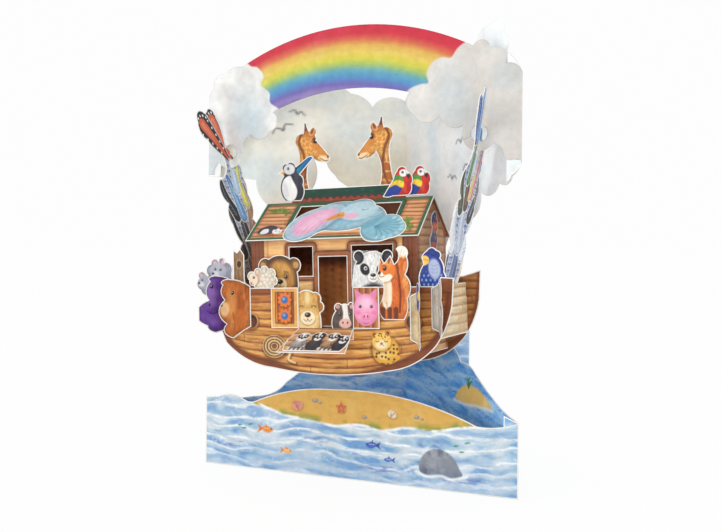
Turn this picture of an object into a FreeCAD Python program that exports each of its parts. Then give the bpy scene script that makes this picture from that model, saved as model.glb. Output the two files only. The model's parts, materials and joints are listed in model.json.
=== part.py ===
import FreeCAD, Part
import math
import os

# A swing card: a die-cut, printed card that opens into a standing frame, with a folded card ark
# hung in it by two tall arms. X runs along the front sheet, Y points to the back, Z is up, and the
# origin is on the table at the middle of the front sheet's foot. Millimetres.

V = FreeCAD.Vector

# ---- driving dimensions ----
card = 0.4                # thickness of the card
front_w = 186.0           # width of the front sheet, fold to fold
spine_y = 76.0            # how far the rear wall's spine stands behind the front sheet
flange_w = 8.0            # glue flange that joins rear wall and front sheets

sea_h = 38.5              # height of the front sea at its folds
hill_h = 48.5             # top of the sand hill
hill_x = -10.0            # place of the hill's top

sky_z = 168.0             # foot of the clouds at the folds
sky_h = 46.0              # height of the clouds at the folds
arch_rise = 80.0          # top of the rainbow over the foot of the clouds
band_w = 35.0             # width of the rainbow
tall_cloud = 79.5         # top of the rear wall's tallest cloud over the foot of the clouds

ring_mid = -4.0           # middle between the two rings
ring_inset = 18.2         # from a fold to the middle of its ring, before ring_mid
ring_rise = 15.2          # middle of the rings over the foot of the clouds
ring_hole = 4.4           # radius of a ring's hole
ring_wall = 4.8           # width of a ring's rim
slit = 0.5                # entry slit through a ring's rim
hang_tilt = 2.0           # the ark hangs a little higher on the right, degrees

strut_reach = 44.0        # how far the strut stands out past the spine
strut_lap = 24.0          # its glued length on the rear wall
strut_h = 92.0

# ark, heights over its keel
hang_h = 118.3            # keel to the rim that the arms hang on
hull_half = 69.0          # half length of the front hull sheet
rear_short = 2.0          # the rear sheet's half length is this much less
hull_y = 26.0             # ark's middle to the inner face of each hull sheet
hull_end = 49.0           # height of bow and stern
rail_h = 45.0             # height of the rail
deck_h = 37.5
deck_flap = 7.0
gate_x0, gate_x1 = -18.0, 14.0      # gateway in the front hull sheet
sill_h = 23.5
gate_clear = 6.0          # gateway to the deck channel on each side
leaf_w = 15.5             # gate leaf, folded back on the hull
leaf_open = 6.0           # its angle off the hull, degrees
ramp_len = 22.0
ramp_drop = 30.0          # slope of the ramp, degrees
ramp_flare = 4.5          # how much wider the ramp's foot is on each side
ramp_tab = 6.0

cabin_half = 48.5
cabin_y = 22.4
cabin_foot = 9.5
roof_over = 2.0           # roof past the cabin's ends
eave_y = 25.4
eave_h = 70.7
ridge_h = 92.0
fin_half = 35.0
fin_h = 7.4
fin_flap = 5.0
skylight = (-27.0, 33.0, 13.0, 29.0)    # x0, x1 and distances up the slope

end_gap = 8.5             # cabin's end to the hull's end panel
end_flap = 6.5
end_foot = 18.0
fold_h = 45.5             # where an arm folds outward from its end panel
arm_root = 13.0           # half width of an arm at that fold
arm_mid = 2.0             # middle between the arms, right of the ark's middle
arm_set = 3.3             # and in front of it, so that the ark hangs level
hang_gap = 0.25           # play over the rim
slot_half = 1.6           # half width of the slot that the rim passes through
slot_gap = 1.0            # play under the rim

# ---- shared values ----
half_w = front_w / 2
wall_len = math.hypot(half_w, spine_y - card / 2)
ring_out = ring_hole + ring_wall
ring_half = half_w - ring_inset
end_x = cabin_half + end_gap
arm_lean = math.degrees(math.atan2(ring_half - end_x, hang_h - fold_h))
slope_run = eave_y
slope_rise = ridge_h - eave_h
slope_len = math.hypot(slope_run, slope_rise)
slope_tan = slope_rise / slope_run

X, Y, Z = V(1, 0, 0), V(0, 1, 0), V(0, 0, 1)
hang = V(ring_mid, 0, sky_z + ring_rise - ring_hole)    # middle of the swing axis
ark_place = FreeCAD.Placement(hang, FreeCAD.Rotation(Y, -hang_tilt), V(0, 0, 0)) * \
    FreeCAD.Placement(V(-arm_mid, arm_set, -hang_h), FreeCAD.Rotation())
ring_centres = [ark_place.multVec(V(arm_mid + s * ring_half, -arm_set, hang_h + ring_hole)) for s in (-1, 1)]

parts = {}


def keep(name, shape, in_ark=False):
    """Stores one piece, in the ark's place if it belongs to the ark."""
    shape = shape.removeSplitter()
    if in_ark:
        shape = shape.copy()
        shape.Placement = ark_place * shape.Placement
    parts[name] = shape


def loop(points):
    """Closed wire, anticlockwise. A third number is the rise of the arc to the next point over its chord."""
    edges = []
    for i, p in enumerate(points):
        q = points[(i + 1) % len(points)]
        a, b = V(p[0], p[1], 0), V(q[0], q[1], 0)
        bulge = p[2] if len(p) > 2 else 0
        if bulge:
            d = b - a
            mid = (a + b) * 0.5 + V(d.y, -d.x, 0) * bulge
            edges.append(Part.Arc(a, mid, b).toShape())
        else:
            edges.append(Part.makeLine(a, b))
    return Part.Wire(edges)


def sheet(points, at, u, v, low=0.0, high=card):
    """Flat card: an outline drawn on axes u and v from the point at, between two heights on u x v."""
    n = u.cross(v)
    turn = FreeCAD.Matrix(u.x, v.x, n.x, at.x, u.y, v.y, n.y, at.y, u.z, v.z, n.z, at.z, 0, 0, 0, 1)
    solid = Part.Face(loop(points)).extrude(V(0, 0, high - low))
    solid.translate(V(0, 0, low))
    solid.Placement = FreeCAD.Placement(turn) * solid.Placement
    return solid


def box(x0, x1, y0, y1, z0, z1):
    return Part.makeBox(x1 - x0, y1 - y0, z1 - z0, V(x0, y0, z0))


def strip(path, side):
    """Outline of a folded strip in section: the path and its mitred copy one card thickness away."""
    pts = [V(p[0], p[1], 0) for p in path]
    normals = []
    for a, b in zip(pts, pts[1:]):
        d = (b - a).normalize()
        normals.append(V(-d.y, d.x, 0) * side)
    copy = [pts[0] + normals[0] * card]
    for p, m, n in zip(pts[1:-1], normals, normals[1:]):
        copy.append(p + (m + n) * (card / (1 + m.dot(n))))
    copy.append(pts[-1] + normals[-1] * card)
    return [(p.x, p.y) for p in pts + copy[::-1]]


def folded(path, side, at, u, v, length):
    """Folded card: a strip in section on axes u and v, drawn out along u x v."""
    return sheet(strip(path, side), at, u, v, 0, length)


def mirror_x(points):
    """The same outline turned left for right, still anticlockwise."""
    flipped = []
    for i in range(len(points) - 1, -1, -1):
        bulge = points[i - 1][2] if len(points[i - 1]) > 2 else 0
        flipped.append((-points[i][0], points[i][1], bulge))
    return flipped


def moved(points, dx, dy, size=1.0):
    return [(p[0] * size + dx, p[1] * size + dy) + tuple(p[2:]) for p in points]


# ---- standing frame ----
def front_arch():
    left, right = ring_centres
    top, low = sky_z + sky_h, sky_z
    inner = sky_z + arch_rise - band_w
    cloud_arch = [
        (-half_w, low), (-half_w + 3.5, low, -0.15),
        (left.x - 6, left.z - 5), (left.x + 8, left.z + 4, -0.1),
        (left.x + 14, left.z + 9.5, 0.3), (left.x + 26, left.z + 11, 0.35),
        (left.x + 28.5, left.z + 21.5, 0.0),
        (left.x + 29.5, left.z + 22.5, -0.083), (right.x - 38, inner - 4, 0.28),
        (right.x - 36, right.z + 11.5, 0.3), (right.x - 21.5, right.z + 10.5, 0.3),
        (right.x - 6, right.z + 6, 0.0), (right.x + 7, right.z - 5, -0.1),
        (right.x + 12.5, right.z - 9.5, 0.3), (half_w - 4, low + 4, 0.1),
        (half_w, low + 4), (half_w, top + 2, 0.2),
        (half_w - 9, top + 7, 0.35), (half_w - 17, top + 15.5, 0.4), (half_w - 26, top + 17.2, 0.124),
        (-half_w + 22, top + 15.5, 0.15), (-half_w + 11, top + 12, 0.3),
        (-half_w + 3, top + 4, 0.1), (-half_w, top - 1),
    ]
    shape = sheet(cloud_arch, V(0, card / 2, 0), X, Z)
    for c, slit_turn in ((left, 25), (right, 155)):
        shape = shape.fuse(Part.makeCylinder(ring_out, card, V(c.x, card / 2, c.z), V(0, -1, 0)))
        shape = shape.cut(Part.makeCylinder(ring_hole, 3 * card, V(c.x, 1.5 * card, c.z), V(0, -1, 0)))
        gap = box(0, ring_out + 2, -card, card, -slit / 2, slit / 2)
        gap.rotate(V(0, 0, 0), Y, slit_turn)
        gap.translate(V(c.x, 0, c.z))
        shape = shape.cut(gap)
    keep("front_arch", shape)


def front_sea():
    sea = [
        (-half_w, 0), (half_w, 0), (half_w, sea_h, -0.06),
        (half_w - 22, sea_h - 3.5, 0.06), (hill_x, hill_h, 0.055), (-half_w + 32, sea_h - 0.5, -0.08),
        (-half_w + 26, sea_h, 0.12), (-half_w + 8, sea_h + 0.8, 0.02), (-half_w, sea_h),
    ]
    keep("front_sea", sheet(sea, V(0, card / 2, 0), X, Z))


def rear_wall():
    per_x = half_w / wall_len

    def left(s, z, bulge=0):
        return (-half_w + s * per_x, z, bulge)

    def right(s, z, bulge=0):
        return (half_w - s * per_x, z, bulge)

    top, low = sky_z + sky_h, sky_z
    waist = [
        left(0, 0), right(0, 0), right(0, sea_h, -0.05),
        right(24, sea_h + 10, -0.02), right(41, sea_h + 21.5, 0.12), right(54, sea_h + 25, 0.0),
        right(58, sea_h + 30, 0.0), right(70, sea_h + 38, -0.1), right(74, low - 50, -0.1),
        right(58, low - 26, 0.3),
        right(36, low - 11, 0.3), right(19, low - 7, 0.3), right(7, low - 4, 0.1), right(0, low + 2),
        right(0, top + 2, 0.05), right(13.5, top + 15, 0.2),
        right(16.5, top + 25, 0.45), right(29, top + 31, 0.3), right(41, top + 23, 0.25),
        right(60, top + 14, 0.3), right(88, top + 5, 0.3),
        left(wall_len, top + 3, 0.25), left(99, top - 2, 0.15),
        left(85, top + 6, 0.2), left(66, top + 8, 0.3), left(40, top + 7, 0.3), left(16, top + 2, 0.2),
        left(0, top - 1), left(0, low - 1), left(28, low - 2, 0.1),
        left(34, low - 16, 0.3), left(52, low - 15, 0.2), left(61, low + 14, 0.35 - 0.7),
        left(70, low + 13, 0.1), left(76, low + 2, 0.2), left(98, low - 5, 0.15),
        left(104, low - 28, 0.0), left(78, low - 45, -0.1), left(73, sea_h + 45, -0.1),
        left(58, sea_h + 15, 0.0), left(47, sea_h + 7, -0.15), left(28, sea_h - 0.5, -0.05), left(0, sea_h),
    ]
    front = card / 2
    fold = [(-half_w + flange_w, front), (-half_w, front), (0, spine_y)]
    path = fold + [(-x, y) for x, y in fold[1::-1]]
    wall = sheet(strip(path, -1), V(0, 0, 0), X, Y, 0, sky_z + 200)
    keep("rear_wall", wall.common(sheet(waist, V(0, spine_y + 1, 0), X, Z, 0, spine_y + 1)))


def strut():
    along = (V(0, spine_y, 0) - V(-half_w, card / 2, 0)).normalize()
    a, b = wall_len - strut_lap, wall_len + strut_reach
    r = 5
    top = [(b, strut_h - r, 0.2071), (b - r, strut_h), (a + r, strut_h, 0.2071), (a, strut_h - r)]
    flap = [(a, 0), (b, 0)] + top
    keep("strut", sheet(flap, V(-half_w, card / 2, 0), along, Z, -card, 0))


# ---- ark ----
def hull_outline(h, top):
    """Keel curve from stern to bow, with the given points along the top from bow to stern."""
    stern = [(-h + 0.5, 36, 0.06), (-h + 6, 15, 0.09), (-h / 2, 2, 0.045)]
    return stern + [(h / 2, 2, 0.09), (h - 10, 15, 0.06), (h - 1, 36)] + top


def hull_front():
    h = hull_half
    top = [
        (h, hull_end), (h - 7, hull_end + 0.5), (h - 9, rail_h),
        (gate_x1, rail_h), (gate_x1, sill_h), (gate_x0, sill_h), (gate_x0, rail_h),
        (-h + 9, rail_h), (-h + 7, hull_end + 0.5), (-h, hull_end),
    ]
    keep("hull_front", sheet(hull_outline(h, top), V(0, -hull_y, 0), X, Z), True)


def hull_rear():
    h = hull_half - rear_short
    top = [(h, hull_end + 3), (h - 10, hull_end, -0.03), (-h + 10, hull_end), (-h, hull_end + 3)]
    keep("hull_rear", sheet(hull_outline(h, top), V(0, hull_y + card, 0), X, Z), True)


def decks():
    """Channel strips that hold the hull sheets off the cabin."""
    for name, side in (("deck_front", -1), ("deck_rear", 1)):
        y0, y1 = side * hull_y, side * cabin_y
        path = [(y0, deck_h - deck_flap), (y0, deck_h), (y1, deck_h), (y1, deck_h - deck_flap)]
        length = 2 * cabin_half
        if side > 0:
            keep(name, folded(path, 1, V(-cabin_half, 0, 0), Y, Z, length), True)
            continue
        shape = folded(path, -1, V(-cabin_half, 0, 0), Y, Z, length)
        ends = (("left", -cabin_half, gate_x0 - gate_clear), ("right", gate_x1 + gate_clear, cabin_half))
        for end, x0, x1 in ends:
            keep("deck_front_" + end, shape.common(box(x0, x1, y0 - 1, y1 + 1, 0, deck_h + 1)), True)


def cabin():
    c, d = cabin_half, cabin_y
    outer = box(-c, c, -d, d, cabin_foot, ridge_h)
    walls = outer.cut(box(-c + card, c - card, -d + card, d - card, 0, ridge_h + 1))
    under = card / math.cos(math.atan(slope_tan))
    side_h = eave_h - under + (eave_y - d - 1) * slope_tan
    foot = cabin_foot
    gable = [(-d - 1, foot), (d + 1, foot), (d + 1, side_h), (0, ridge_h - under), (-d - 1, side_h)]
    walls = walls.common(sheet(gable, V(-c - 1, 0, 0), Y, Z, 0, 2 * c + 2))
    for x0, x1, z0, z1 in ((-25, -11, 51, 66.5), (12, 35, 45.5, 66.5), (-7.5, 9, sill_h + 1, 61)):
        walls = walls.cut(box(x0, x1, -d - 1, -d + 1, z0, z1))
    walls = walls.cut(box(-8, 8, d - 1, d + 1, 50, 64))
    keep("cabin", walls, True)


def roof():
    path = [(-eave_y, eave_h), (0, ridge_h), (eave_y, eave_h)]
    half = cabin_half + roof_over
    shape = folded(path, -1, V(-half, 0, 0), Y, Z, 2 * half)
    up = V(0, slope_run, slope_rise).normalize()
    x0, x1, v0, v1 = skylight
    hole = sheet([(x0, v0), (x1, v0), (x1, v1), (x0, v1)], V(0, -eave_y, eave_h), X, up, -2, 2)
    keep("roof", shape.cut(hole), True)


def ridge_fin():
    dy = fin_flap * slope_run / slope_len
    dz = fin_flap * slope_rise / slope_len
    path = [(0, ridge_h + fin_h), (0, ridge_h), (dy, ridge_h - dz)]
    keep("ridge_fin", folded(path, 1, V(-fin_half, 0, 0), Y, Z, 2 * fin_half), True)


def gate_leaves():
    for name, hinge, side in (("gate_left", gate_x0, -1), ("gate_right", gate_x1, 1)):
        a = math.radians(leaf_open)
        along = V(side * math.cos(a), -math.sin(a), 0)
        points = [(0, 0), (leaf_w, 0), (leaf_w, rail_h - sill_h), (0, rail_h - sill_h)]
        at = V(hinge, -hull_y - card, sill_h)
        if side < 0:
            shape = sheet(points, at, along, Z, -card, 0)
        else:
            shape = sheet(points, at, along, Z, 0, card)
        keep(name, shape, True)


def ramp():
    front = -hull_y - card
    slope = math.radians(ramp_drop)
    path = [(front, sill_h - ramp_tab), (front, sill_h),
            (front - ramp_len * math.cos(slope), sill_h - ramp_len * math.sin(slope))]
    shape = folded(path, 1, V(gate_x0 - 20, 0, 0), Y, Z, gate_x1 - gate_x0 + 40)
    foot = front - ramp_len - 1
    plan = [(gate_x0 - ramp_flare, foot), (gate_x1 + ramp_flare, foot), (gate_x1, front - card),
            (gate_x1, front + 1), (gate_x0, front + 1), (gate_x0, front - card)]
    keep("ramp", shape.common(sheet(plan, V(0, 0, 0), X, Y, 0, ridge_h)), True)


def arm(name, side, outline):
    """End panel between the hull sheets and, folded outward from it, the tall arm with its slot."""
    x = arm_mid + side * end_x
    inner = x - side * end_flap
    path = [(inner, -hull_y), (x, -hull_y), (x, hull_y), (inner, hull_y)]
    panel = sheet(strip(path, side), V(0, 0, 0), X, Y, end_foot, fold_h)
    for y0, y1 in ((-hull_y - 1, -hull_y + 2), (hull_y - 2, hull_y + 1)):
        panel = panel.cut(box(x - end_flap - 1, x + end_flap + 1, y0, y1, deck_h, fold_h + 1))
    a = math.radians(arm_lean)
    up = V(side * math.sin(a), 0, math.cos(a))
    rim = (hang_h - fold_h) / math.cos(a)
    top = rim + (hang_gap + math.sin(a) * card / 2) / math.cos(a)
    low = rim - (ring_wall + slot_gap) / math.cos(a)
    at = V(x - side * card / 2, -arm_set, fold_h)
    tall = sheet(outline(rim), at, Y, up, -card / 2, card / 2)
    hole = [(-slot_half, low), (slot_half, low), (slot_half, top), (-slot_half, top)]
    keep(name, panel.fuse(tall).cut(sheet(hole, at, Y, up, -card, card)), True)


def left_arm_outline(rim):
    """Songbird with raised wing over the ring, and leaf and wing shapes under it."""
    r = arm_root
    return [
        (-r, -card), (r, -card, 0.1), (r - 3, 12, 0.25), (r - 1, 28, 0.25), (r - 3.5, 40, 0.2),
        (r - 2.5, 55, 0.15), (r - 4, rim - 9, 0.2), (6, rim + 0.5, -0.1), (1.5, rim + 5.5, 0.2),
        (-2.6, rim + 7.5, 0.08), (-5.6, rim + 25, 0.3), (-13, rim + 29, -0.1), (-17, rim + 26, 0.35),
        (-26, rim + 20, 0.25), (-20, rim + 10, 0.1), (-8, rim + 2, -0.15), (-6.5, rim - 5, -0.15),
        (-17, rim - 13, 0.25), (-13, rim - 27, 0.2), (-14, rim - 39, 0.1), (-8, rim - 50, 0.2),
        (-r, 12, 0.15),
    ]


def right_arm_outline(rim):
    """Two long tail feathers over the ring, and bird shapes under it."""
    r = arm_root
    return [
        (-r, -card), (r, -card, 0.1), (r + 1, 14, 0.2), (r - 4, 26, 0.25), (r + 1, 42, 0.2),
        (r - 2, 58, 0.15),
        (r - 2, rim - 8, 0.2), (6, rim + 0.5, -0.1), (1.5, rim + 5.5, 0.2), (-2.6, rim + 7.5, 0.03),
        (-5.6, rim + 25, 0.4), (-9, rim + 26.5, -0.2), (-10.5, rim + 22, 0.4), (-14, rim + 21, 0.05),
        (-8.5, rim + 2, -0.1), (-7, rim - 6, -0.1), (-14, rim - 16, 0.25), (-11, rim - 30, 0.25),
        (-16, rim - 42, 0.2), (-10, rim - 54, 0.2), (-r, 10, 0.1),
    ]


# ---- die-cut figures, each outline drawn on its own point ----
bear = [(-10.5, -6), (10.5, -6, 0.06), (11, 8, 0.5), (6.5, 15.5, 0.16), (-6.5, 15.5, 0.5),
        (-11, 8, 0.06)]
dog = [(-8, -4), (8, -4, 0.05), (8, 8, 0.35), (8.5, 14, 0.3), (4, 19, 0.15), (-4, 19, 0.3),
       (-8.5, 14, 0.35), (-8, 8, 0.05)]
panda = [(-11, -6), (11, -6, 0.06), (11, 8, 0.1), (9.5, 13, 0.7), (5, 17, 0.14), (-5, 17, 0.7),
         (-9.5, 13, 0.1), (-11, 8, 0.06)]
sheep = [(-6, -5), (6, -5), (6, 1, 0.4), (7, 6, 0.4), (3, 10, 0.4), (-2, 10, 0.35), (-6, 8.5, 0.5),
         (-9, 4, 0.3), (-6, 1)]
fox = [(-5, -17), (6, -17, 0.1), (8, -6, 0.2), (7, 6, 0.12), (8, 15, 0.5), (2, 19, -0.25), (1, 11.5),
       (-1, 16), (-4.5, 12), (-7, 16.5), (-8, 8, 0.3), (-5.5, 2, -0.1), (-7, -8, 0.2)]
blue_bird = [(-4, -7), (5, -7, 0.15), (6, 5, 0.1), (4, 12, 0.3), (2, 16, 0.3), (-3, 16, 0.1),
             (-6, 12.5, 0.0), (-5, 9, 0.2)]
mice = [(-6, -4), (8, -4, 0.05), (9.5, 8, 0.3), (5, 14.5, 0.55), (1, 15, 0.4), (-4, 13.5, 0.3),
        (-6, 7, 0.0), (-8, 8.5, 0.5), (-12, 5.5, 0.3), (-11, -1, 0.2)]
trunk = [(-3.6, -4.5), (3.6, -4.5), (3.4, 18), (1, 21.5), (-1, 19.5), (-3.6, 21)]
calf = [(-6, -4), (8, -4), (8, 6, 0.2), (4, 12, 0.5), (1, 12.5, 0.1), (-3, 12.5, 0.5), (-6.5, 9, 0.2)]
gable_birds = [(-3, 0), (3.5, 0, 0.2), (4.5, 9, 0.25), (5.5, 17, 0.4), (0.5, 19.5, 0.3), (-2, 12, -0.1),
               (-4.5, 7, 0.3)]
goose = [(-30, 2, 0.25), (-12, 2, -0.1), (-6, 6, 0.08), (14, 7.5, 0.1), (20, -3, 0.15), (33, -2, 0.35),
         (37, 12, 0.2), (26, 18, 0.1), (17, 27, 0.25), (2, 31, 0.12), (-18, 26, 0.2)]
giraffe = [(-7, 0), (8, 0, -0.04), (3, 22, -0.1), (5, 32, 0.3), (0, 38, -0.05), (-0.5, 43, 0.5),
           (-2.5, 43, -0.05), (-4, 39, 0.05), (-6.5, 41.5, 0.25), (-8, 36.5, 0.0), (-9, 33, 0.0),
           (-16, 25, 0.45), (-12.5, 21, 0.12), (-5, 24.5, -0.15)]
magpie = [(-5.5, 0), (4.5, 0, 0.15), (6, 9, 0.2), (4, 15, 0.0), (13, 24, 0.15), (9, 24.5, 0.0),
          (1.5, 19.5, 0.3), (-4, 21.5, 0.35), (-7, 17.5, 0.0), (-10, 16.5, 0.0), (-6.5, 14.5, 0.2)]
red_bird = [(-5, 0), (4, 0, 0.15), (6, 6, 0.25), (3.5, 13, 0.45), (-2.5, 13.5, 0.1), (-4.5, 9.5, 0.0),
            (-11, -0.0, 0.1)]
family = [(-16, 1), (16, 1, 0.1), (18, 9, 0.3), (12, 15, 0.3), (4, 15.5, 0.3), (-5, 14.5, 0.3),
          (-13, 15, 0.3), (-17, 9, 0.1)]
hippo = [(0, 0), (9, -2, 0.15), (14, 2, 0.25), (13, 16, 0.1), (12, 26, 0.4), (7, 29, 0.1), (0, 27)]
cub = [(0, 0), (7, -4, 0.2), (11, 4, 0.15), (12, 17, 0.1), (13, 25, 0.4), (8, 28, 0.1), (0, 26)]
crane = [(0, 0), (5, -3, 0.2), (8, 2, 0.05), (7, 16, 0.1), (9, 27, 0.3), (4, 31, 0.2), (0, 26)]
hare = [(0, 0), (4, -2, 0.2), (8, 3, 0.15), (7.5, 16, 0.08), (8, 26, 0.4), (5, 26), (4, 18),
        (3, 24, 0.4), (0, 24)]


def figures():
    behind = V(0, -hull_y + card, 0)                 # on the back of the front hull sheet
    before = V(0, -hull_y - card, 0)                 # on its front
    h = hull_half
    for name, points, x, z, at in (
        ("bear", bear, -31.0, rail_h, V(0, -cabin_y, 0)),
        ("panda", panda, 25.5, rail_h, behind),
        ("sheep", sheep, -39.0, rail_h, behind),
        ("dog", dog, gate_x0 + 4.7, sill_h, behind),
        ("calf", calf, gate_x1 - 4, sill_h, behind),
        ("trunk", trunk, -h + 14.5, rail_h, behind),
        ("mice", mice, -h + 0.5, rail_h, behind),
        ("fox", fox, 36.5, rail_h, before),
        ("blue_bird", blue_bird, h - 11, rail_h + 2, behind),
    ):
        keep(name, sheet(moved(points, x, z), at, X, Z), True)

    lean = math.radians(62)
    for name, points, x, z, side in (
        ("hippo", hippo, -h + 9, 23, -1), ("cub", cub, -h + 18, 22, -1),
        ("crane", crane, 49.5, 16, 1), ("hare", hare, h - 8, 22, 1),
    ):
        # a tab on the hull and a wing that stands out from it towards the ark's end
        along = V(side * math.cos(lean), -math.sin(lean), 0)
        front = -hull_y - card
        tab_w = 4.0
        path = [(x - side * tab_w, front), (x, front), (x + along.x * 20, front + along.y * 20)]
        body = sheet(strip(path, -1 if side > 0 else 1), V(0, 0, 0), X, Y, 0, ridge_h)
        wing = [(-tab_w, points[0][1] + 2)] + moved(points, 0, 0) + [(-tab_w, points[-1][1] - 2)]
        wing = [(p[0] * (abs(along.x) if p[0] > 0 else 1), p[1]) + tuple(p[2:]) for p in wing]
        wing = moved(wing, 0, z)
        if side < 0:
            wing = mirror_x(wing)
        keep(name, body.common(sheet(moved(wing, x, 0), V(0, 0, 0), X, Z, 0, hull_y + 40)), True)

    up = V(0, slope_run, slope_rise).normalize()
    keep("goose", sheet(goose, V(2, -eave_y, eave_h), X, up), True)
    keep("gable_birds", sheet(moved(gable_birds, 2, eave_h - 7), V(cabin_half, 0, 0), Y, Z), True)

    fin_front, fin_back = V(0, 0, 0), V(0, card * 2, 0)
    foot = ridge_h + 2 * card
    for name, points, x, at in (
        ("giraffe_left", mirror_x(giraffe), -27.0, fin_back), ("giraffe_right", giraffe, 22.5, fin_back),
        ("magpie", magpie, -33.0, fin_front), ("red_bird_front", red_bird, 32.0, fin_front),
        ("red_bird_back", red_bird, 42.0, fin_back),
    ):
        keep(name, sheet(moved(points, x, foot), at, X, Z), True)

    slope = math.radians(ramp_drop)
    down = V(0, -math.cos(slope), -math.sin(slope))
    mid = (gate_x0 + gate_x1) / 2
    at = V(mid, -hull_y - card - ramp_len * math.cos(slope), sill_h - ramp_len * math.sin(slope))
    keep("family", sheet(family, at, X, down * -1, 0, card), True)


front_arch()
front_sea()
rear_wall()
strut()
hull_front()
hull_rear()
decks()
cabin()
roof()
ridge_fin()
gate_leaves()
ramp()
arm("left_arm", -1, left_arm_outline)
arm("right_arm", 1, right_arm_outline)
figures()

os.makedirs("parts", exist_ok=True)
for name, shape in parts.items():
    print(name, shape.isValid(), len(shape.Solids), round(shape.Volume, 2))
    shape.exportStep("parts/" + name + ".step")
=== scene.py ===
import json
from math import atan2, cos, degrees, hypot, pi, radians, sin

import bpy
import numpy as np
from mathutils import Matrix, Vector
from mathutils.geometry import delaunay_2d_cdt


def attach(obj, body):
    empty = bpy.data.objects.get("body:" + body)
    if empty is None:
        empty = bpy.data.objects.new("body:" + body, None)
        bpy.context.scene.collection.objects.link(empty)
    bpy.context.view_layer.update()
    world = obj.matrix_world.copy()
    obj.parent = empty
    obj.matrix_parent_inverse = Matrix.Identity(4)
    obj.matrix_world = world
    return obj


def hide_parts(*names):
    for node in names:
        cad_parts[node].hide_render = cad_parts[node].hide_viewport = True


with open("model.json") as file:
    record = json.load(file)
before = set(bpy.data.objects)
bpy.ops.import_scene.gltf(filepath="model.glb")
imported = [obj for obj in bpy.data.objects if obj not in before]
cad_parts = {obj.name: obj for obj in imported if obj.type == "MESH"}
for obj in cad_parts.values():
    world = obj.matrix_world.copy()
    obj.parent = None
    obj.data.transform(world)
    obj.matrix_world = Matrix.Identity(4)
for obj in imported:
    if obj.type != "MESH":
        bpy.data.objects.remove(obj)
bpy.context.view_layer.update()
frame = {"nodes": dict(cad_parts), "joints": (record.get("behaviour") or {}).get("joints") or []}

# Swing card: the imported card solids, each given a fine skin of triangles and painted point by point.
# Painting works in millimetres. Ark pieces are painted in the ark's own frame: x along the hull,
# y towards the stern wall, z up from the keel.

card = {
    "thick": 0.4,           # card thickness
    "edgeStep": 1.6,        # longest stretch of an outline, in grid steps
    "rowStep": 0.866,       # height of a grid row, in grid steps
    "clear": 0.5,           # grid points keep this far from the outline, in grid steps
    "wide": 0.75,           # a face is printed if its area is more than this x outline x thickness
    "level": 0.004,         # how far a triangle may stand off its face's plane
    "parallel": 0.99999,    # and the least cosine between their normals
    "borderSoft": 0.07,     # half width of the change from white border to print
    "borderWhite": (0.965, 0.955, 0.935),
    "noCut": 99.0,          # distance to the cut on a face with none
}
pattern = {
    "lattice": 64,          # cells of a noise table each way, before it repeats
    "start": 1000,          # where on the lattice the middle of a face lies
    "tile": 7.0,            # side of the squares in which distances are worked out
    "tileRow": 4096,        # more than the number of tiles in a column
    "octaveShare": 0.55,    # weight of each finer noise of a wash, times the one before
    "octaveSum": 1.6,       # brings a wash of three noises back to about -1 to 1
    "curveSteps": 6,        # straight stretches between two points of a smooth line
}

hangPoint = np.array(frame["joints"][0]["pos_m"]) * 1000
swing = {
    "tilt": radians(2.0),      # the ark hangs a little higher on the right
    "hang": 118.3,                  # keel to the swing axis
    "armMiddle": 2.0,               # the arms' middle, right of the ark's middle
    "armForward": 3.3,              # and in front of it
    "armFoot": 52.0,                # faces of the arms with their middle above this are the tall arms
}


def toArk(points):
    # ark frame = turn by the tilt about the swing axis, then shift from the axis to the keel
    c, s = cos(swing["tilt"]), sin(swing["tilt"])
    p = points - hangPoint
    x = p[:, 0] * c + p[:, 2] * s + swing["armMiddle"]
    z = -p[:, 0] * s + p[:, 2] * c + swing["hang"]
    return np.column_stack((x, p[:, 1] - swing["armForward"], z))


def turnToArk(direction):
    # the same turn for a direction
    c, s = cos(swing["tilt"]), sin(swing["tilt"])
    x, y, z = direction
    return np.array((x * c + z * s, y, -x * s + z * c))


def step(low, high, value):
    # smooth rise from 0 at low to 1 at high
    t = np.clip((value - low) / (high - low), 0, 1)
    return t * t * (3 - 2 * t)


def fall(low, high, value):
    # smooth fall from 1 at low to 0 at high
    return 1 - step(low, high, value)


def lattice(u, v, size):
    # the square cell of each point, and where in the cell it lies, 0 to 1
    a, b = u / size + pattern["start"], v / size + pattern["start"]
    i, j = np.floor(a).astype(int), np.floor(b).astype(int)
    return i, j, a - i, b - j


def noise(u, v, size, seed):
    # value noise, -1 to 1: random heights on a square lattice of the given size, joined by smooth steps
    n = pattern["lattice"]
    table = np.random.default_rng(seed).uniform(-1, 1, (n, n))
    i, j, fa, fb = lattice(u, v, size)
    fa, fb = fa * fa * (3 - 2 * fa), fb * fb * (3 - 2 * fb)
    i0, i1, j0, j1 = i % n, (i + 1) % n, j % n, (j + 1) % n
    low = table[i0, j0] * (1 - fa) + table[i1, j0] * fa
    high = table[i0, j1] * (1 - fa) + table[i1, j1] * fa
    return low * (1 - fb) + high * fb


def wash(u, v, size, seed, octaves=3):
    # sum of value noises, each of half the size and a share of the weight of the one before
    return sum(pattern["octaveShare"] ** k * noise(u, v, size / 2 ** k, seed + 17 * k)
               for k in range(octaves)) / pattern["octaveSum"]


def tiles(u, v):
    # the points sorted into square tiles: a list of each tile's point numbers
    side = pattern["tile"]
    key = np.floor(u / side).astype(int) * pattern["tileRow"] + np.floor(v / side).astype(int)
    order = np.argsort(key, kind="stable")
    return np.split(order, np.flatnonzero(np.diff(key[order])) + 1) if len(u) else []


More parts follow.
